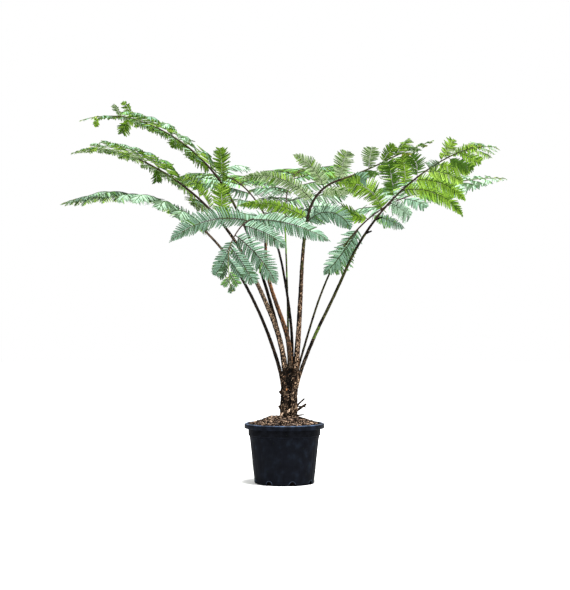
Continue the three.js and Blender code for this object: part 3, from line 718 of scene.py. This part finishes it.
def leaflet_shape(lobes):
    """Unit leaflet with a lobed margin, in its own outline, closed above and below.

    x runs from root to tip and y from side to side, both in shares of its size, and z is 1 on
    the upper midrib and -1 on the lower one. Faces come with a number: 0 and 1 for the two
    halves of the upper side, 2 and 3 for those of the lower one.
    """
    points = [(0, 0, 0), (1, 0, 0)]
    points += [(k / lobes, 0, z) for k in range(1, lobes) for z in (1, -1)]
    upper = [0, *range(2, 2 * lobes, 2), 1]
    lower = [0, *range(3, 2 * lobes, 2), 1]
    faces = []
    halves = []
    for side in (1, -1):
        margin = len(points)
        for k in range(lobes):
            bay = (k + 0.1) / lobes
            tip = (k + (0.7 if k < lobes - 1 else 0.5)) / lobes
            points += [(bay, side * LEAFLET_BAY * (1 - bay) ** LEAFLET_POINT, 0),
                       (tip, side * (1 - tip) ** LEAFLET_POINT, 0)]
        for layer, ribs in enumerate((upper, lower)):
            flip = (side < 0) != (layer == 1)
            for k in range(lobes):
                bay, tip, after = range(margin + 2 * k, margin + 2 * k + 3)
                found = [(ribs[k], ribs[k + 1], tip)]
                if k:
                    found.append((ribs[k], tip, bay))
                if k < lobes - 1:
                    found.append((ribs[k + 1], after, tip))
                faces += [face[::-1] if flip else face for face in found]
                halves += [2 * layer + (side < 0)] * len(found)
    used, faces = np.unique(faces, return_inverse=True)
    return np.array(points, float)[used], faces.reshape(-1, 3), np.array(halves)


LEAFLETS = {lobes: leaflet_shape(lobes) for lobes in (2, 3, 5, 7)}


def lobes_for(length):
    return 7 if length > 36 else 5 if length > 20 else 3 if length > 9 else 2


def leaflet_reach(t, paddle):
    """Size of the leaflets at t from 0 to 1 along a pinna, against the longest."""
    if paddle:
        return np.interp(t, PADDLE_AT, PADDLE_REACH)
    (first, growth), (wane, power) = LEAFLET_GROWTH, LEAFLET_WANE
    return min(1, first + growth * t) * (1 - max(0, (t - wane) / (1 - wane)) ** power)


def leaflet_rows(pinna, line):
    """Leaflets in two rows along a pinna, and one at its tip."""
    directions, across, up = pinna_frames(pinna, line)
    length = pinna["length"] * pinna["scale"]
    reach = min(LEAFLET_REACH * pinna["spacing"], 0.3 * length / pinna["whole"])
    reach = pinna.get("leaflet", reach)
    wild = pinna["wild"]
    paddle = "course" in pinna and reach > 0.24 * length
    broad = pinna["broad"] * (PADDLE_BROADER if paddle else 1)
    spacing = min(pinna["fine"], max(5.0, 0.36 * reach))
    steps = np.linalg.norm(np.diff(line, axis=0), axis=1)
    distances = np.concatenate([[0], np.cumsum(steps)])
    found = []
    for side in (1, -1):
        at = pinna["rachis_radius"] + LEAFLET_START * min(1, length / 160)
        at += (0.5 if side < 0 else 0) * spacing
        while at < distances[-1] - 0.3 * spacing:
            t = at / length
            size = reach * max(LEAFLET_LEAST, leaflet_reach(t, paddle))
            size *= rng.uniform(1 - 0.12 * wild, 1 + 0.08 * wild)
            d, a, u = (unit(between(at, distances, v)) for v in (directions, across, up))
            root = between(at, distances, line)
            splay = np.interp(t, SPLAY_AT, PADDLE_SPLAY if paddle else SPLAY)
            angle = math.radians(splay + wild * rng.uniform(-5, 5))
            droop = 0.2 + wild * rng.uniform(-0.12, 0.16)
            axis = unit(turned(d, a * side, angle) - u * droop)
            normal = square_to(axis, u)
            forwards = square_to(normal, d - axis * d.dot(axis))
            twist = pinna["twist"] + wild * rng.uniform(-0.2, 0.2)
            normal = unit(turned(normal, forwards, twist))
            width = np.cross(normal, axis)
            bend = 0.1 * math.copysign(1, width.dot(d))
            found.append((root, axis, width, normal, size,
                          broad * 0.5 * min(spacing, 0.75 * size), bend,
                          0.18 + wild * rng.uniform(-0.1, 0.14),
                          pick_tints(pinna, width[2] > 0)))
            at += spacing * (1 - 0.3 * t)
    size = 0.5 * spacing + 3
    normal = up[-1]
    found.append((line[-1] - directions[-1] * 2, directions[-1], np.cross(normal, directions[-1]),
                  normal, size, 0.3 * size, 0, 0.1, pick_tints(pinna, True)))
    return found


def pinna_frames(pinna, line):
    """Directions, cross directions and upward directions along a pinna's rib."""
    directions = unit(np.gradient(line, axis=0))
    up = unit(pinna["up"] - directions * (directions @ pinna["up"])[:, None])
    return directions, np.cross(up, directions), up


def add_leaflets(piece, leaflets):
    """Meshes of all leaflets of a frond, grouped by how many lobes they have."""
    groups = {}
    for leaflet in leaflets:
        groups.setdefault(lobes_for(leaflet[4]), []).append(leaflet)
    for lobes, members in sorted(groups.items()):
        shape, faces, sides = LEAFLETS[lobes]
        x, y, z = shape.T[:, None]
        *vectors, tints = ([m[k] for m in members] for k in (0, 1, 2, 3, 8))
        root, axis, width, normal = np.array(vectors)[:, :, None]
        size, half, bend, curl = np.array([m[4:8] for m in members]).T[..., None]
        along = x * size
        aside = y * half + bend * x ** 2 * size
        height = (z * LEAFLET_THICKNESS - curl * x ** 2 * size
                  - LEAFLET_FOLD * np.abs(y) * half)
        points = (root + axis * along[..., None] + width * aside[..., None]
                  + normal * height[..., None])
        piece.repeat(points, faces, np.array(tints)[:, sides].ravel())


def sharpen_margins(body):
    """Marks the thin edges of leaflets sharp, where the two sides of a leaf meet."""
    mesh = body.data
    edges = read(mesh.loops, "edge_index", kind=np.int32)
    upper = np.repeat(read(mesh.polygons, "material_index", kind=np.int32) < len(LEAF_TOPS), 3)
    both = np.zeros((2, len(mesh.edges)), bool)
    both[0][edges[upper]] = True
    both[1][edges[~upper]] = True
    sharp = mesh.attributes.new("sharp_edge", "BOOLEAN", "EDGE")
    sharp.data.foreach_set("value", both[0] & both[1])


def pick_tints(pinna, rising):
    """Colours of a leaflet's halves, upper side first: mostly its pinna's, the lower half deep as
    painted shade.
    """
    top, under = pinna["tints"]
    if rng.random() < OTHER_TINT:
        top = rng.choice(len(LEAF_TOPS), p=pinna["top_shares"])
    if rng.random() < OTHER_TINT:
        under = rng.choice(len(LEAF_UNDERS), p=pinna["under_shares"])
    under += len(LEAF_TOPS)
    if rng.random() > LEAF_SHADE_SHARE:
        return top, top, under, under
    # painted shade: the half that faces down takes the deep colour
    deep = LEAF_SHADE_TINT, len(LEAF_TOPS) + LEAF_SHADE_TINT
    if rising:
        return top, deep[0], under, deep[1]
    return deep[0], top, deep[1], under


def tint_pinna(pinna):
    """Shares of the leaf colours on a pinna, yellower near the blade's tip."""
    pale = pinna["pale"]
    tops = TOP_SHARES * (1 - pale) + np.array([0, pale, 0, 0, 0])
    unders = UNDER_SHARES
    if pinna["u"] > YELLOW_FROM:
        tops = 0.75 * tops + np.array([0, 0, 0.1, 0, 0.15])
        unders = TIP_UNDER_SHARES
    unders = unders * (1 - pale) + np.array([0, 0, pale, 0, 0])
    if "tint" in pinna:
        tops, unders = (shares * (1 - MARKED) + MARKED * np.eye(5)[pinna["tint"]]
                        for shares in (tops, unders))
    pinna["top_shares"], pinna["under_shares"] = tops, unders
    pinna["tints"] = (pinna.get("tint", rng.choice(5, p=tops)),
                      pinna.get("tint", rng.choice(5, p=unders)))


def grow_blade(frond, fronds):
    """Leaflets and ribs of one blade, in place of its solid."""
    limbs = [other.limb for other in fronds]
    others = [other.limb for other in fronds if other is not frond]
    leaflets = []
    ribs = Piece()
    for pinna in pinna_plan(frond):
        pinna["outwards"] = unit(pinna["outwards"] + rng.normal(0, 0.025, 3))
        pinna["sag"] += rng.uniform(-0.05, 0.1)
        pinna["hook"] = rng.uniform(*pinna["hook"])
        for scale in PINNA_SHORTER:
            line = pinna_line(pinna, scale)
            if room(line[2:], others).min() > PINNA_ROOM:
                break
        else:
            continue
        pinna["scale"] = scale
        tint_pinna(pinna)
        leaflets += leaflet_rows(pinna, line)
        thick = np.clip(RIB_SLENDER * pinna["length"] * scale, *RIB_RADII)
        t = np.linspace(0, 1, len(line))
        add_tube(ribs, line, thick * (1 - 0.8 * t) + 0.1, 5, np.where(t[1:] < 0.6, 0, 1))
    middles, tips = leaf_points(leaflets, 0.55), leaf_points(leaflets, 1)
    clear = np.minimum(room(middles, limbs), room(tips, limbs)) > LEAFLET_ROOM
    if frond.facts["bare"]:
        clear &= beside_rachis(leaflets, frond)
    piece = Piece()
    add_leaflets(piece, [leaf for leaf, free in zip(leaflets, clear) if free])
    leaves = piece.make(f"leaflets_{frond.name}", LEAF_MATERIALS)
    sharpen_margins(leaves)
    grow_rachis(ribs, frond)
    stalks = ribs.make(f"ribs_{frond.name}", RIB_MATERIALS)
    for body in (leaves, stalks):
        place(body, f"frond_{frond.name}")


def grow_rachis(piece, frond):
    """Rachis of a blade, brown at its foot and green towards its tip."""
    start = frond.facts["stipe"] - 4
    distances = frond.span(start, frond.length, 9)
    points, _ = frond.at(distances)
    t = (distances[1:] - start) / (frond.length - start)
    tints = np.digitize(t + noise(points[1:], 60, 5) * 0.12, [0.45, 0.8])
    add_tube(piece, points, frond.radius(distances), 9, tints,
             relief=lambda rings: lumps(rings, RACHIS_LUMPS))


def bark_tints(facts, t, rings, outwards):
    """Colour of each face of a stalk: patches along it, a pale edge on the right as painted light,
    a black left side as painted shade, and specks.
    """
    seed = len(facts["name"])
    shares = np.clip(t * 2, 0, 2) + 0.7 * noise(rings, 22, seed) + 0.4 * noise(rings, 8, seed + 1)
    row = np.clip(np.round(shares), 0, 2).astype(int)
    tints = bark(facts["bark"])[row]
    side = outwards[..., 0] + 0.35 * noise(rings * (1, 1, 0.3), 12, seed + 2)
    # painted light: the stalk's right side takes the edge colour
    tints[side > 0.74] = BARK[facts["edge"]]
    specks = noise(rings, 2.6, seed + 3)
    reach = np.interp(t, [0, 0.5, 1], [0, 0.28, 0.5])
    tints[specks > 0.22 + reach] = BARK[facts["specks"]]
    # black specks, and the stalk's left side black as painted shade
    tints[(specks < -0.14 - reach) | (side < -0.6)] = BARK["black"]
    return tints


def grow_stipe(frond):
    """Stipe with a scaly skin, rougher towards its foot."""
    facts = frond.facts
    distances = frond.span(0, facts["stipe"] - 2, 2.4 if frond.thick else 4.5)
    points, _ = frond.at(distances)
    rough = np.interp(distances, [0, 0.45 * facts["stipe"], facts["stipe"]], [1, 0.6, 0.2])
    size = facts["thick"][0] / THICK_STIPE

    def relief(rings):
        return lumps(rings, STIPE_LUMPS) * rough[:, None] * size

    def tints(rings, outwards):
        t = np.repeat((distances[:-1] / facts["stipe"])[:, None], rings.shape[1], axis=1)
        found = bark_tints(facts, t, rings, outwards)
        for name, low, high in MOSS:
            if name == frond.name:
                patch = (rings[..., 2] > low) & (rings[..., 2] < high)
                found[patch & (noise(rings, 9, 61) > -0.2)] = BARK["lichen"]
        return found

    piece = Piece()
    sides = 32 if frond.thick else 14
    rings, outwards = add_tube(piece, points, frond.radius(distances), sides, tints, relief)
    place(piece.make(f"stalk_{frond.name}", BARK_MATERIALS), f"stipe_{frond.name}")
    return rings, outwards


SLIVER_POINTS = np.array([(-1, 0, 0), (0.1, -1, 0), (1, 0, 0.1), (0.1, 1, 0), (0, 0, 1),
                          (0, 0, -1)], float)
SLIVER_FACES = np.array([(0, 1, 4), (1, 2, 4), (2, 3, 4), (3, 0, 4), (1, 0, 5), (2, 1, 5),
                         (3, 2, 5), (0, 3, 5)])


def add_slivers(piece, roots, along, outwards, lengths, widths, thickness, tints):
    """Thin pointed scales or fibres that lie on a surface."""
    across = unit(np.cross(outwards, along))
    along = unit(along - outwards * np.sum(along * outwards, axis=1)[:, None] * 0.7)
    x, y, z = SLIVER_POINTS.T
    points = (roots[:, None] + along[:, None] * (x * lengths[:, None] / 2)[..., None]
              + across[:, None] * (y * widths[:, None] / 2)[..., None]
              + outwards[:, None] * (z * thickness)[:, None])
    piece.repeat(points, SLIVER_FACES, np.repeat(tints, len(SLIVER_FACES)))


def add_stipe_scales(piece, frond, rings, outwards):
    """Papery scales on a stipe, denser towards its foot."""
    count = frond.facts["scales"]
    share = rng.random(count) ** 1.8 * 0.9
    ring = (share * (len(rings) - 2)).astype(int)
    side = rng.integers(0, rings.shape[1], count)
    roots = rings[ring, side]
    out = outwards[ring, side]
    along = unit(rings[ring + 1, side] - roots) + rng.normal(0, 0.25, (count, 3))
    names = ("black", "dark", "brown", "grey")[frond.thick:][:3]
    tints = bark(names)[rng.integers(0, 3, count)]
    add_slivers(piece, roots + out * 0.3, along, out, rng.uniform(5, 13, count),
                rng.uniform(1.2, 3.2, count), 0.5, tints)


# Trunk

def butt_line(frond):
    """Line of a stipe's base inside the trunk, from the soil to just past the fork."""
    start = np.array([*frond.facts["butt"], TRUNK["foot"] - ROOTED], float)
    end, direction = frond.points[0], frond.directions[0]
    pull = 0.45 * (end[2] - start[2])
    a, b = start + (0, 0, pull), end - direction * pull
    t = np.linspace(0, 1, 26)[:, None]
    curve = ((1 - t) ** 3 * start + 3 * (1 - t) ** 2 * t * a + 3 * (1 - t) * t ** 2 * b
             + t ** 3 * end)
    return np.vstack([curve, end + direction * 8])


def butt_radii(frond, t):
    """Radii of a stipe's base, which swells towards the soil."""
    return frond.facts["thick"][0] / 2 * (1 + (BUTT_SWELL - 1) * (1 - t)) + 2 * (1 - t)


def fine_butt(frond):
    """Closely spaced points of a stipe's base, and its radii there."""
    fine = np.linspace(0, 1, 90)
    line = butt_line(frond)
    return between(fine, np.linspace(0, 1, len(line)), line), butt_radii(frond, fine)


def grow_trunk(fronds):
    """Trunk of merged stipe bases, in one skin with the relief of old bark."""
    rough = Piece()
    for frond in fronds:
        line = butt_line(frond)
        add_tube(rough, line, butt_radii(frond, np.linspace(0, 1, len(line))), 14)
    heights = np.linspace(0, 1, len(CORE_RADII))
    t = np.linspace(0, 1, 30)
    ends = [np.array([*TRUNK["foot_centre"], TRUNK["foot"] - ROOTED], float),
            np.array([*TRUNK["top_centre"], TRUNK["core_top"]], float)]
    core = ends[0] + np.outer(t, ends[1] - ends[0])
    add_tube(rough, core, np.interp(t, heights, CORE_RADII) * np.interp(t, [0, 0.12], [1, 0.64]),
             24)
    body = rough.make("trunk_bark", BARK_MATERIALS)
    skin = body.modifiers.new("skin", "REMESH")
    skin.mode = "VOXEL"
    skin.voxel_size = TRUNK_VOXEL * MM
    skin.use_smooth_shade = True
    apply_modifiers(body)
    mesh = body.data
    points = read(mesh.vertices, "co", 3) / MM
    normals = read(mesh.vertices, "normal", 3)
    relief = lumps(points, TRUNK_LUMPS)
    groove = np.clip((room(points, map(fine_butt, fronds)) - 1) / 5, 0, 1)
    ridges = [fine_butt(frond) for frond in fronds if frond.facts["thick"][0] > RIDGE_STIPE]
    front = (points[:, 1] < 0) & (np.abs(points[:, 0] - 25) < 24)
    groove += 1.6 * front * np.clip((room(points, ridges) - 0.5) / 4, 0, 1)
    groove += 1.4 * (points[:, 1] < 0) * np.exp(-((points[:, 0] - TRUNK_SEAM) / 5) ** 2)
    points += normals * (relief - 2 * groove)[:, None]
    mesh.vertices.foreach_set("co", (points * MM).ravel().astype(np.float32))
    mesh.update()
    # painted shade in the grooves and painted highlight on the ridges of the two thickest bases
    paint_trunk(mesh, relief - 1.8 * groove + 0.35 * (room(points, ridges) < 1))
    place(body, "trunk")
    return mesh


def apply_modifiers(body):
    """Puts the mesh with its modifiers in place of the plain one."""
    made = bpy.data.meshes.new_from_object(
        body.evaluated_get(bpy.context.evaluated_depsgraph_get()))
    body.modifiers.clear()
    body.data = made


def paint_trunk(mesh, relief):
    """Deals out bark colours over the trunk, black in its hollows as painted shade, tan on its
    lumps as painted highlight, and paler towards the right as painted light.
    """
    mesh.materials.clear()
    for material in BARK_MATERIALS:
        mesh.materials.append(material)
    corners = read(mesh.loops, "vertex_index", kind=np.int32)
    starts = read(mesh.polygons, "loop_start", kind=np.int32)
    centres = read(mesh.polygons, "center", 3) / MM
    value = relief[corners[starts]] / 1.8 + 0.3 * noise(centres * (1, 1, 0.5), 14, 31)
    value += 0.6 * noise(centres, 2.6, 32)
    # painted light: paler towards the right, where the lamp stands
    value += np.interp(centres[:, 0], [0, 45, 70], [-0.15, 0.1, 0.3])
    row = np.digitize(value, BARK_VALUES)
    mesh.polygons.foreach_set("material_index", bark(BARK_ORDER)[row].astype(np.int32))


def add_trunk_scales(piece, mesh):
    """Scales and broken fibres all over the trunk."""
    chosen = rng.integers(0, len(mesh.polygons), TRUNK_SCALES)
    roots = read(mesh.polygons, "center", 3)[chosen] / MM
    out = unit(read(mesh.polygons, "normal", 3)[chosen])
    keep = roots[:, 2] > TRUNK["foot"] - 2
    roots, out = roots[keep], out[keep]
    count = len(roots)
    along = np.array([0.0, 0.0, 1.0]) + rng.normal(0, 0.35, (count, 3))
    shares = {"black": 0.4, "dark": 0.22, "brown": 0.14, "grey": 0.11, "tan": 0.09, "rust": 0.04}
    tints = bark(shares)[rng.choice(len(shares), count, p=list(shares.values()))]
    add_slivers(piece, roots + out * 0.4, along, out, rng.uniform(3, 9, count),
                rng.uniform(1.5, 3.5, count), 0.9, tints)


def add_stubs(piece):
    """Cut and broken stalks low on the trunk."""
    for root, tip, radii in STUBS:
        root, tip = np.array(root, float), np.array(tip, float)
        t = np.linspace(0, 1, 12)
        line = root + np.outer(t, tip - root)
        line += noise(line, 30, 41)[:, None] * np.array([0.0, 1.2, 1.2])
        tints = np.where(rng.random(len(t) - 1) < 0.6, BARK["dark"], BARK["brown"])
        add_tube(piece, line, np.interp(t, [0, 1], radii), 9, tints,
                 relief=lambda rings: lumps(rings, STUB_LUMPS))


def add_stipe_stubs(piece, frond):
    """Broken stubs that stand out from a stipe."""
    for name, height, reach, radii in STIPE_STUBS:
        if name == frond.name:
            root = frond.points[np.argmax(frond.points[:, 2] > height)]
            t = np.linspace(0, 1, 8)
            add_tube(piece, root + np.outer(t, reach), np.interp(t, [0, 1], radii), 9,
                     BARK["black"], relief=lambda rings: lumps(rings, STIPE_STUB_LUMPS))


def add_splinters(piece):
    """Pale torn fibres low on the trunk, at places of their own."""
    for start, end, width, color in SPLINTERS:
        start, end = np.array(start, float), np.array(end, float)
        along = unit(end - start)
        front = square_to(along, np.array([0.0, -1.0, 0.1]))
        add_slivers(piece, (start + end)[None] / 2, along[None], front[None],
                    np.array([np.linalg.norm(end - start)]), np.array([float(width)]), 3.0,
                    np.array([BARK[color]]))


# Pot and potting mix

def arc(centre, radius, start, end, count):
    """Points of a round stretch of a profile, angles in degrees."""
    angles = np.radians(np.linspace(start, end, count))
    return [(centre[0] + radius * math.cos(a), centre[1] + radius * math.sin(a)) for a in angles]


def pot_profile():
    """Outline of the pot's wall from the middle of its underside round to its floor inside."""
    top, rim, collar = POT["height"], POT["rim_radius"], POT["collar_radius"]
    body_top, base, edge = POT["body_top_radius"], POT["base_radius"], POT["edge_radius"]
    inside = collar - POT["wall"]
    neck = rim - POT["lip"]
    outline = [(0.01, 0), (base - edge - 12, 0)]
    outline += arc((base - edge, edge), edge, -90, -4, 7)
    outline += [(base + (body_top - base) * s, edge + (BODY_TOP - edge) * s)
                for s in np.linspace(0.06, 0.985, 12)]
    outline += [(body_top, BODY_TOP), (body_top + 1.6, BODY_TOP + 1.2),
                (body_top + 1.8, COLLAR_BOTTOM - 2), (collar - 1.4, COLLAR_BOTTOM - 0.4),
                (collar, COLLAR_BOTTOM + 1.5), (collar + 0.4, RIM_BOTTOM + 3),
                (collar + 1, top - 7), (neck, top - 7), (neck, RIM_BOTTOM + 1.2),
                (neck + 1, RIM_BOTTOM)]
    outline += arc((rim - 1.6, RIM_BOTTOM + 1.6), 1.6, -90, 0, 4)
    outline += [(rim, RIM_BOTTOM + 9)]
    outline += arc((rim - 7, top - 7), 7, 0, 90, 9)
    outline += [((rim + inside) / 2, top - 0.3)]
    outline += arc((inside + 4, top - 4), 4, 90, 180, 6)
    outline += [(inside, COLLAR_BOTTOM), (body_top - POT["wall"], COLLAR_BOTTOM - 6),
                (base - POT["wall"], POT["floor"]), (0.01, POT["floor"])]
    return np.array(outline)


def make_pot():
    """Pot with soft vertical panels, drain notches and a bead round each notch."""
    profile = pot_profile()
    sides = POT["sides"]
    angles = ring_angles(sides)
    phase = (angles * POT["panels"] / (2 * np.pi)) % 1
    groove = np.exp(-((np.minimum(phase, 1 - phase)) / 0.09) ** 2)
    outer = np.arange(len(profile)) < np.argmax(profile[:, 1] > BODY_TOP - 1)
    share = np.interp(profile[:, 1], [10, 34, BODY_TOP - 22, BODY_TOP - 6], [0, 1, 1, 0]) * outer
    radius = profile[:, :1] - POT["panel_groove"] * share[:, None] * groove
    piece = Piece()
    piece.wall(polar(radius, angles, profile[:, 1:]), sides)
    shades = [srgb(9, 10, 14), srgb(12, 14, 19), srgb(20, 25, 33)]
    pot = piece.make("pot_shell", [plastic("pot_plastic", shades, 0.5, 0.008, 34, 8, 0.78)])
    cutter = notch_cutter()
    cut = pot.modifiers.new("notches", "BOOLEAN")
    cut.operation = "DIFFERENCE"
    cut.solver = "EXACT"
    cut.object = cutter
    apply_modifiers(pot)
    bpy.data.objects.remove(cutter)
    # painted shade: the collar under the rim is darker and the insides of the notches near black
    for material in (recoloured_plastic("pot_rim", (11, 14, 20), specular=0.015),
                     recoloured_plastic("pot_edge_wear_highlight", (42, 52, 68)),
                     recoloured_plastic("pot_collar_shade", (9, 10, 13), specular=0.004),
                     surface("pot_notch_shade", srgb(3, 3, 4), 0.9, specular=0.0),
                     recoloured_plastic("pot_far_edge_wear_highlight", (84, 104, 142))):
        pot.data.materials.append(material)
    for polygon in pot.data.polygons:
        polygon.use_smooth = True
        x, y, z = polygon.center / MM
        # the rim's top edge is paler from wear and as painted highlight, its far half paler and
        # bluer still as painted highlight
        if z > RIM_BOTTOM - 0.5 and math.hypot(x, y) > POT["collar_radius"] + 4:
            polygon.material_index = 1 if z < POT["height"] - 2.6 else 2 if y < 0 else 5
        # painted shade on the collar under the rim, and near black inside the notches
        elif z > COLLAR_BOTTOM + 2:
            polygon.material_index = 3
        elif 0.5 < z < NOTCH["height"] + 2 and math.hypot(x, y) < POT["base_radius"] - 2.5:
            polygon.material_index = 4
    pot.data.set_sharp_from_angle(angle=math.radians(38))
    for body in (pot, notch_beads()):
        place(body, "pot")


def notch_places():
    """Directions outwards and sideways at each drain notch."""
    angles = [math.radians(NOTCH["first"] - 90 + 360 * i / NOTCH["count"])
              for i in range(NOTCH["count"])]
    return [(np.array([math.cos(angle), math.sin(angle), 0.0]),
             np.array([-math.sin(angle), math.cos(angle), 0.0])) for angle in angles]


def notch_outline(grow=0.0):
    """Arch of a notch as (sideways, height) pairs, from one foot round to the other."""
    half = NOTCH["width"] / 2
    springing = NOTCH["height"] - half
    curve = arc((0, springing), half + grow, 0, 180, 13)
    return [(half + grow, -1.0), *curve, (-half - grow, -1.0)]


def notch_cutter():
    """Arched prisms that cut the drain notches."""
    piece = Piece()
    outline = notch_outline()
    near = POT["base_radius"] - NOTCH["depth"] / 2
    for out, aside in notch_places():
        piece.wall(np.array([[out * r + aside * s + (0, 0, h) for s, h in outline]
                             for r in (near, near + NOTCH["depth"])]), len(outline))
    return piece.make("notch_cutter", [])


def notch_beads():
    """Thin raised lip round each drain notch, paler than the pot as painted highlight."""
    piece = Piece()
    edge = POT["edge_radius"]
    slope = (POT["body_top_radius"] - POT["base_radius"]) / (BODY_TOP - edge)
    for out, aside in notch_places():
        line = []
        for s, h in notch_outline(NOTCH["bead"] * 0.6)[1:-1]:
            level = max(h, 1.6)
            inset = edge - math.sqrt(edge ** 2 - max(0, edge - level) ** 2)
            radius = POT["base_radius"] + slope * level - inset
            line.append(out * math.sqrt(radius ** 2 - s ** 2) + aside * s + (0, 0, level))
        add_tube(piece, np.array(line), NOTCH["bead"], 8)
    # the bead is paler than the pot as painted highlight
    return piece.make("pot_notch_beads", [recoloured_plastic("pot_bead_highlight", (40, 49, 62))])


def plastic(name, shades, roughness=0.45, specular=0.06, size=30, detail=6, high=0.7):
    """Moulded plastic with a faint bloom of dust."""
    material = surface(name, shades[1], roughness, specular)
    mottle(material, shades, size, detail=detail, low=0.3, high=high)
    return grain(material, 1.6, 0.12, strength=0.6)


def recoloured_plastic(name, color, **rest):
    """The same plastic in another colour: paler on the rim's edge from wear and painted highlight,
    paler on the beads as painted highlight, darker on the collar as painted shade.
    """
    return plastic(name, [srgb(*(c * change for c in color)) for change in (0.55, 1, 1.6)], **rest)


def soil_level(radius):
    """Height of the potting mix at a distance from the pot's middle."""
    return np.interp(radius, [0, SOIL["top_radius"], SOIL["shoulder_radius"],
                              POT["collar_radius"] - POT["wall"]],
                     [SOIL["top"], SOIL["top"], SOIL["shoulder"], SOIL["edge"]])


def make_soil():
    """Mound of crumbly potting mix, with chips and clods lying on it."""
    wall = POT["wall"] + SOIL_GAP
    inside = POT["collar_radius"] - wall
    radii = np.linspace(0.5, inside, 72)[:, None]
    angles = ring_angles(SOIL_SIDES)
    rough = lumps(polar(radii, angles, 0), SOIL_LUMPS + SOIL_CRUMBS)
    rough = rough * np.interp(radii, [inside - 6, inside], [1, 0.4])
    low = POT["base_radius"] - wall
    points = np.concatenate([polar(radii, angles, soil_level(radii) + rough)] + [
        polar(radius, angles, level)[None] for radius, level in (
            (inside, COLLAR_BOTTOM + 1), (POT["body_top_radius"] - wall, COLLAR_BOTTOM - 8),
            (low + 1, 30), (low - 13, 24), (low - 13, POT["floor"] + SOIL_GAP))])
    centres = points[:-1].reshape(-1, 3)
    tints = np.digitize(lumps(centres, SOIL_PATCHES), [0.5, 1.0, 1.3])
    piece = Piece()
    # painted shade: below the collar the mix is all in the dark colour
    piece.wall(points, SOIL_SIDES, False, tints * (centres[:, 2] > COLLAR_BOTTOM))
    ground = piece.make("soil_mound", CHIP_MATERIALS)
    chips = Piece()
    add_chips(chips, inside)
    for body in (ground, chips.make("soil_chips", CHIP_MATERIALS, smooth=False)):
        place(body, "soil")


CHIP_POINTS = np.array([(-1, -1, -1), (1, -1, -1), (1, 1, -1), (-1, 1, -1),
                        (-1, -1, 1), (1, -1, 1), (1, 1, 1), (-1, 1, 1)], float)
CHIP_FACES = np.array([(0, 3, 2, 1), (4, 5, 6, 7), (0, 1, 5, 4), (1, 2, 6, 5), (2, 3, 7, 6),
                       (3, 0, 4, 7)])


def add_chips(piece, inside):
    """Loose bits of bark and fibre strewn over the mix."""
    radius = (inside - 6) * np.sqrt(rng.random(CHIPS))
    angle = rng.uniform(0, 2 * np.pi, CHIPS)
    rough = lumps(polar(radius, angle, 0), SOIL_LUMPS)
    centres = polar(radius, angle, soil_level(radius) + rough + 0.6)
    long = rng.lognormal(0.9, 0.45, CHIPS)
    sizes = np.stack([long, long * rng.uniform(0.3, 0.7, CHIPS),
                      long * rng.uniform(0.2, 0.45, CHIPS)], axis=1)
    shape = CHIP_POINTS * (1 + rng.uniform(-0.35, 0.25, (CHIPS, 8, 3))) * sizes[:, None]
    along = unit(rng.normal(0, 1, (CHIPS, 3)) * (1, 1, 0.35))
    up = np.array([0.0, 0.0, 1.0]) + rng.normal(0, 0.35, (CHIPS, 3))
    across = unit(np.cross(up, along))
    up = np.cross(along, across)
    points = (centres[:, None] + along[:, None] * shape[..., :1]
              + across[:, None] * shape[..., 1:2] + up[:, None] * shape[..., 2:])
    tints = rng.choice(4, CHIPS, p=[0.34, 0.24, 0.24, 0.18])
    piece.repeat(points, CHIP_FACES, np.repeat(tints, len(CHIP_FACES)))


# Stage

def make_stage():
    """Pale floor, soft light from all round and a large soft lamp above on the left."""
    bpy.ops.mesh.primitive_circle_add(vertices=96, radius=14, fill_type="NGON")
    floor = bpy.context.object
    floor.name = "floor"
    floor.data.materials.append(surface("floor_pale", (1.0, 1.0, 1.0), 1.0, specular=0.0))
    world = bpy.data.worlds.new("studio")
    bpy.context.scene.world = world
    world.use_nodes = True
    sky = world.node_tree.nodes["Background"]
    sky.inputs["Color"].default_value = (1.0, 1.0, 1.0, 1)
    sky.inputs["Strength"].default_value = 1.0
    lamp = bpy.data.lights.new("lamp", "AREA")
    lamp.shape = "DISK"
    lamp.size = LAMP["size"]
    lamp.energy = LAMP["power"]
    body = add_object("lamp", lamp)
    body.location = LAMP["place"]
    aim = Vector(LAMP["aim"]) - body.location
    body.rotation_euler = aim.to_track_quat("-Z", "Y").to_euler()
    bpy.context.scene.view_settings.view_transform = "Standard"


def make_camera():
    camera = bpy.data.cameras.new("camera")
    camera.lens = LENS
    camera.sensor_width = 36
    body = add_object("camera", camera)
    body.location = EYE
    body.rotation_euler = (math.pi / 2, 0, 0)
    bpy.context.scene.camera = body


def make_plant():
    fronds = [Frond(facts) for facts in FRONDS]
    debris = Piece()
    add_trunk_scales(debris, grow_trunk(fronds))
    add_stubs(debris)
    add_splinters(debris)
    for frond in fronds:
        rings, outwards = grow_stipe(frond)
        add_stipe_scales(debris, frond, rings, outwards)
        add_stipe_stubs(debris, frond)
        grow_blade(frond, fronds)
    scales = debris.make("scales", BARK_MATERIALS, smooth=False)
    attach(scales, "root")


make_camera()
make_stage()
make_pot()
make_soil()
make_plant()
